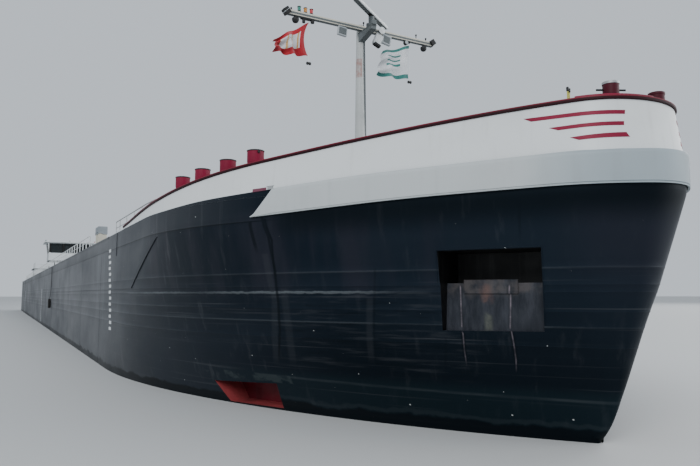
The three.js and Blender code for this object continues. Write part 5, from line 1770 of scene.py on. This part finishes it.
def screws():
    """Four-bladed screws with twisted blades, and the rudders behind them."""
    hub = [(3, -34), (9, -30), (14, -22), (15.5, -10), (15.5, 20), (13, 26)]
    for name, side in SIDES:
        y, z, x0 = side * SHAFT["y"], SHAFT["z"], SHAFT["x"]
        shape = Shape()
        shape.lathe(hub, (x0, y, z), (1, 0, 0), 28)
        shape.rod((x0 + 20, y, z), (x0 + 180, y, z), 7, steps=16)
        rings = []
        for share in [j / 8 for j in range(9)]:
            radius = BLADES["root"] + BLADES["length"] * share
            chord = BLADES["chord"] * sin(pi * (0.22 + 0.62 * share)) * (1.15 - 0.25 * share)
            twist = side * radians(BLADES["twist"] - BLADES["untwist"] * share)
            rake = 5 * share * share
            section = ellipse((0, 0), (chord, BLADES["thick"] * (1 - 0.75 * share)), 12)[:-1]
            rings.append([(a * cos(twist) - b * sin(twist), a * sin(twist) + b * cos(twist) + rake, radius)
                          for a, b in section])
        for k in range(BLADES["count"]):
            turn = 2 * pi * k / BLADES["count"] + pi / 4
            shape.at = Matrix.Translation((x0, y, z)) @ Matrix.Rotation(turn, 4, "X")
            shape.loft(rings)
        shape.at = Matrix.Identity(4)
        body = f"propeller_{name}"
        piece(f"screw_{name}", shape, [BRONZE], "propeller_bronze", body, [body])
        x1 = x0 - RUDDER["behind"]
        middle = x1 - RUDDER["stock"]
        long = RUDDER["half_chord"]
        outline = ellipse((0, 0), (long, RUDDER["thick"]), 20)[:-1]
        foil = [(a, b * (0.55 + 0.45 * a / long)) for a, b in outline]
        shape = Shape()
        shape.loft([[(middle + a * size, y + b * size, height) for a, b in foil]
                    for height, size in ((10, 0.94), (13, 1), (80, 1), (157, 1), (160, 0.94))])
        shape.upright(x1, y, 150, RUDDER["head"], 6, 20)
        piece(f"rudder_blade_{name}", shape, [NAVY], "hull_navy", f"rudder_{name}", [f"rudder_{name}"])


WHEELHOUSE = {"x": -4310, "half_length": 200, "half_width": 280, "floor": 858, "sill": 969, "head": 1105,
              "top": 1118, "lean": 22, "bend": 965}


def wheelhouse_wall(face, a, z, out=0.0):
    """A point of a wheelhouse wall: a runs along it, z up it, out away from it."""
    x, bend = WHEELHOUSE["x"], WHEELHOUSE["bend"]
    reach = WHEELHOUSE["lean"] * (z - bend) / (WHEELHOUSE["top"] - bend) + out
    length, width = WHEELHOUSE["half_length"] + reach, WHEELHOUSE["half_width"] + reach
    return {"fore": (x + length, a, z), "aft": (x - length, a, z), "starboard": (a, -width, z),
            "port": (a, width, z)}[face]


def window_frames():
    """Rubber frames and seals of the wheelhouse windows, with three wipers."""
    x0 = WHEELHOUSE["x"]
    low, high = WHEELHOUSE["sill"], WHEELHOUSE["head"]
    panes = [(face, y - 78, y + 78) for face in ("fore", "aft") for y in (-180, 0, 180)]
    for face, _ in SIDES:
        panes += [(face, x0 - 50, x0 + 60), (face, x0 + 76, x0 + 180)]
    frames = Shape()
    for face, a0, a1 in panes:
        corners = ((a0, low), (a1, low), (a1, high), (a0, high), (a0, low), (a0 + 6, low))
        frames.tube([wheelhouse_wall(face, a, z, 0.4) for a, z in corners], 1.9, 6)
    for y in (-270, -90, 90, 270):
        edges = ((y - 11, low + 4), (y + 11, low + 4), (y + 11, high), (y - 11, high))
        frames.loft([[wheelhouse_wall("fore", a, z, out) for a, z in edges] for out in (0.4, 1.6)])
    for y in (-180, 0, 180):
        arm = [wheelhouse_wall("fore", y, high - 2, 3), wheelhouse_wall("fore", y + 42, low + 26, 2.5)]
        frames.tube(arm, 1.1, 6)
        wiper = [wheelhouse_wall("fore", y + dy, low + rise, 2.5) for dy, rise in ((30, 8), (52, 62))]
        frames.tube(wiper, 1.0, 6)
    piece("wheelhouse_window_frames", frames, [RUBBER], "fender_rubber", "wheelhouse")


def roof_fittings():
    """Side lights with their screens, whip aerials, a horn, a searchlight and a dome on the wheelhouse."""
    white, black, red, green, clear = range(5)
    x0 = WHEELHOUSE["x"]
    top = WHEELHOUSE["top"] + 15
    roof = Shape()
    for _, side in SIDES:
        roof.look = red if side > 0 else green
        roof.upright(x0 + 235, side * 330, top, top + 12, 5, 20)
        roof.look = black
        roof.box(x0 + 222, x0 + 230, side * 322, side * 336, top, top + 15)
        roof.upright(x0 - 330, side * 250, top, top + 32, 0.9, 8)
    roof.look = white
    roof.upright(x0 + 100, 0, top, top + 18, 5, 20)
    roof.lathe([(4, 0), (14, 1), (14, 12), (12, 15), (4, 15.5)], (x0 + 96, 0, top + 14), (1, 0, 0), 28)
    roof.lathe([(16, 0), (17, 2), (17, 10), (13, 18), (6, 22), (1, 23)], (x0 - 180, 120, top), steps=30)
    roof.look = clear
    roof.rod((x0 + 111, 0, top + 14), (x0 + 113, 0, top + 14), 11.5, steps=26)
    piece("wheelhouse_roof_fittings", roof, [WHITE, BLACK, LAMP_RED, LAMP_GREEN, LAMP_CLEAR], "white_paint",
          "wheelhouse")


def steering_desk():
    """The desk with its screens, and the helmsman's seat on a post."""
    grey, black = 0, 1
    x0, floor = WHEELHOUSE["x"], WHEELHOUSE["floor"]
    inside = Shape()
    inside.look = grey
    outline = ((90, 2), (172, 2), (172, 92), (150, 104), (96, 84))
    inside.prism([(x0 + dx, floor + rise) for dx, rise in outline], -210, 210, "y")
    inside.look = black
    for y in (-120, 0, 120):
        inside.box(x0 + 108, x0 + 116, y - 40, y + 40, floor + 92, floor + 124)
    inside.upright(x0 + 10, 0, floor + 1, floor + 46, 8, 20)
    inside.box(x0 - 18, x0 + 38, -28, 28, floor + 44, floor + 56, 5)
    inside.box(x0 - 26, x0 - 14, -26, 26, floor + 52, floor + 118, 5)
    for y in (-36, 26):
        inside.box(x0 - 14, x0 + 30, y, y + 10, floor + 68, floor + 74, 2)
    piece("steering_desk", inside, [GREY_AND_UNDER_SHADE, BLACK], "machine_black", "wheelhouse")


# Doors: name, aft and fore edge, distance from the centreline, foot and head
DOORS = (("wheelhouse_door", -4460, -4380, 280, 859, 1082), ("crew_house_door", -4835, -4755, 430, 512, 714))


def door_fittings():
    """Handles, hinges and a port on each of the four doors."""
    metal, pane, rubber = range(3)
    for prefix, aft, fore, half, low, high in DOORS:
        middle = (aft + fore) / 2
        left, right, foot, head = middle - 23, middle + 23, high - 93, high - 21
        corners = ((left, foot), (right, foot), (right, head), (left, head), (left, foot), (left + 5, foot))
        for name, side in SIDES:
            shape = Shape()
            y = side * half
            shape.look = metal
            handle = ((0, 90), (4, 92), (4, 110), (0, 112))
            shape.tube([(fore - 12, y + side * out, low + rise) for out, rise in handle], 1.3, 8)
            for z in (low + 30, high - 30):
                shape.upright(aft + 4, y + side * 1.2, z - 8, z + 8, 1.8, 12)
            shape.look = pane
            shape.box(left + 1, right - 1, y - side * 0.5, y + side * 0.8, foot + 1, head - 1, 0.4)
            shape.look = rubber
            shape.tube([(x, y + side * 0.8, z) for x, z in corners], 1.4, 6)
            piece(f"{prefix}_fittings_{name}", shape, [GALVANISED, GLASS, RUBBER], "machine_black",
                  f"{prefix}_{name}")


CREW_HOUSE = {"aft": -5350, "fore": -4730, "half": 430, "sill": 620, "head": 700, "roof": 757}


def crew_windows():
    """Rubber frames round the windows in the crew house's sides and aft wall."""
    sill, head = CREW_HOUSE["sill"], CREW_HOUSE["head"]
    panes = []
    for _, side in SIDES:
        y = side * (CREW_HOUSE["half"] + 0.4)
        for x in (-5280, -5165, -5050, -4935):
            panes.append([(x, y, sill), (x + 80, y, sill), (x + 80, y, head), (x, y, head)])
    x = CREW_HOUSE["aft"] - 0.4
    for y in (-300, -60, 180):
        panes.append([(x, y, sill), (x, y + 120, sill), (x, y + 120, head), (x, y, head)])
    frames = Shape()
    for pane in panes:
        past_first = Vector(pane[0]).lerp(Vector(pane[1]), 0.05)
        frames.tube([*pane, pane[0], past_first], 1.9, 6)
    piece("crew_window_frames", frames, [RUBBER], "fender_rubber")


def crew_house():
    """The roof's rail, vents, exhausts and dome, and the vents on the engine casing."""
    metal, black, white = range(3)
    roof = CREW_HOUSE["roof"]
    aft, fore, side = CREW_HOUSE["aft"] + 10, CREW_HOUSE["fore"] - 8, CREW_HOUSE["half"] - 6
    shape = Shape()
    for x0, y0, x1, y1 in ((aft, -side, fore, -side), (aft, side, fore, side), (aft, -side, aft, side)):
        rail_run(shape, (x0, y0, roof), (x1, y1, roof), 90, 120)
    piece("roof_railing", shape, [WHITE], "white_paint")
    shape = Shape()
    shape.look = metal
    vent = [(16, 0), (16, 3), (11, 4), (11, 34), (20, 37), (22, 43), (18, 52), (7, 57), (1, 58)]
    for x, y in ((-5250, -200), (-5250, 200), (-4980, 0)):
        shape.lathe(vent, (x, y, roof), steps=28)
    shape.look = black
    for y in (-150, 150):
        exhaust = ((-4800, -1), (-4800, 70), (-4812, 88), (-4835, 96))
        shape.tube([(x, y, roof + rise) for x, rise in exhaust], 11, 18)
    shape.look = white
    dome = [(10, 0), (10, 6), (24, 12), (27, 26), (24, 40), (14, 50), (1, 53)]
    shape.lathe(dome, (-5120, 220, roof), steps=30)
    piece("roof_vents", shape, [GALVANISED, BLACK, WHITE], "white_paint")
    shape = Shape()
    top, louvres, pitch = DECK + 70, 5, 5.5
    for x, y in ((-4620, -330), (-4620, 330), (-4120, -360), (-4120, 360)):
        shape.block(x, y, 34, 40, top + GAP, top + 34, 3)
        for k in range(louvres):
            shape.block(x, y, 35.5, 34, top + 5 + k * pitch, top + 7 + k * pitch, 0.5)
    piece("casing_vents", shape, [WHITE], "white_paint")


def boom():
    """The stern boom: post with collar, a tapered arm, its stay, a hook and a dark ball."""
    x, y, z = -5430, -300, DECK + 130
    black = 1
    post = [(14, 0), (14, 3), (9, 5), (8, 8), (8, 150), (10, 151), (10, 158), (7.5, 160), (7, 164)]
    ball = [(1, 0), (6, 2), (8.5, 7), (8.5, 10), (6, 15), (1, 17)]
    shape = Shape()
    shape.lathe(post, (x, y, DECK + GAP), steps=26)
    shape.rod((x, y, z + 24), (x, y + 300, z + 60), 5.5, 4, steps=18)
    shape.tube([(x, y, z + 32), (x, y + 290, z + 62)], 0.8, 6)
    shape.look = black
    hook_y = y + 292
    shape.upright(x, hook_y, z + 44, z + 58, 1.2, 8)
    shape.lathe(ball, (x, hook_y, z + 28), steps=22)
    piece("boom_arm", shape, [WHITE, BLACK], "white_paint", "stern_boom", ["stern_boom"])


def fenders():
    """A hanging fender on each side with its rope and two raised rings."""
    x = 1130
    low, high = WATER + 155, WATER + 220
    black = 1
    body = [(3, 0), (7.5, 1.5), (9, 5), (9, 58), (7.5, 62.5), (4, 64.5), (2, 65)]
    # The rope, as rows of (shift along the hull, distance from it, height)
    rope = ((0, 10, high - 2), (0.6, 5, high + 30), (0, 2.4, high + 90), (-0.4, 2.3, EDGE - 8),
            (0, 2.2, EDGE - 4))
    for name, side in SIDES:
        y = side * (HALF + 10)
        shape = Shape()
        shape.lathe(body, (x, y, low), steps=26)
        for z in (20, 40):
            shape.lathe([(9.05, z), (9.6, z + 1), (9.6, z + 4), (9.05, z + 5)], (x, y, low), steps=26)
        shape.look = black
        shape.tube([(x + dx, side * (HALF + out), z) for dx, out, z in rope], 1.5, 8)
        piece(f"fender_{name}", shape, [RUBBER, BLACK], "fender_rubber", replaces=[f"side_fender_{name}"])


def locker():
    """The deck locker: a cream box under a creased grey cover that hangs over its upper half."""
    cream, grey, black = range(3)
    aft, fore, outer, inner, top = 3210, 3297, -550, -512, 645
    hem = 612
    steps = 14
    shape = Shape()
    shape.look = cream
    shape.box(aft + 2, fore - 2, outer + 2, inner - 2, DECK + GAP, top - 6, 2)
    for x in (aft + 24, fore - 24):
        shape.box(x - 1.5, x + 1.5, outer + 0.6, outer + 2.4, DECK + 8, hem + 4, 0.5)
    shape.look = grey
    creases = random.Random(5)
    corners = ((aft, outer), (fore, outer), (fore, inner), (aft, inner), (aft, outer))
    around = []
    for (x0, y0), (x1, y1) in zip(corners, corners[1:]):
        around += [(x0 + (x1 - x0) * k / steps, y0 + (y1 - y0) * k / steps) for k in range(steps)]
    waves = [creases.uniform(0, 1) for _ in around]
    centre_x, centre_y = (aft + fore) / 2, (outer + inner) / 2
    # The cover's rows from its hem up: height, how far it stands out, and how much it is crushed
    levels = ((hem, 1.0, 1.8), (hem + 9, 0.6, 1.5), (top - 12, 0.2, 1.0), (top - 4, 0.0, 0.7),
              (top - 1.4, -2.5, 0.4), (top - 0.6, -9, 0.3))
    rings = []
    for z, spread, crush in levels:
        ring = []
        for k, (x, y) in enumerate(around):
            away = Vector((x - centre_x, y - centre_y, 0)).normalized()
            fold = waves[k] * crush + 0.8 * crush * sin(k * 1.1 + z * 0.2)
            sag = 2.5 * sin(k * 0.45) if z == hem else 0.0
            out = spread - 1.2 + fold * 0.5
            ring.append((x + away.x * out, y + away.y * out, z + sag))
        rings.append(ring)
    shape.loft(rings)
    shape.look = black
    cord = enumerate(range(aft + 2, fore, 6))
    shape.tube([(x, outer - 0.6 if k % 2 else outer - 0.2, hem + 6) for k, x in cord], 0.7, 6)
    piece("locker", shape, [CREAM, TARPAULIN, BLACK], "cream_paint", replaces=["deck_locker"])


def kept_nodes():
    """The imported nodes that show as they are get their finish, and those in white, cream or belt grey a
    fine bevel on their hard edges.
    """
    finishes = {
        "hull_navy": NAVY, "belt_grey": BELT, "white_paint": WHITE, "maroon_paint": MAROON,
        "crimson_paint": CRIMSON, "red_paint": RED, "cream_paint": CREAM, "deck_grey": DECK_GREY,
        "cover_aluminium": ALUMINIUM, "machine_black": BLACK, "fender_rubber": RUBBER,
        "propeller_bronze": BRONZE, "window_glass": GLASS, "red_flag_cloth": RED_CLOTH,
        "green_flag_cloth": GREEN_CLOTH, "engine_paint": ENGINE,
    }
    for row in frame["record"]["subparts"]:
        node = frame["nodes"][row["node"]]
        node.data.materials.clear()
        node.data.materials.append(finishes[row["material_slot"]])
        if row["material_slot"] in ("white_paint", "cream_paint", "belt_grey"):
            bevel = node.modifiers.new("edges", "BEVEL")
            bevel.width = 0.0012
            bevel.segments = 2
            bevel.limit_method = "ANGLE"
            bevel.angle_limit = radians(40)


camera()
stage()
kept_nodes()
fore_hull()
side_tanks()
aft_hull()
bulwark()
cap_rail()
belt()
stripes()
side_marks()
pocket_trim()
side_bulwark()
coamings()
for cover in range(1, COVER_COUNT + 1):
    hatch_cover(cover)
mast_step()
foremast()
radar()
yard()
flags()
for side_name, side_sign in SIDES:
    fore_bollards(side_name, side_sign)
    double_bollards(side_name, side_sign)
bow_bollards()
bow_trim()
windlass()
foredeck()
railings()
screws()
window_frames()
roof_fittings()
steering_desk()
door_fittings()
crew_windows()
crew_house()
boom()
fenders()
locker()
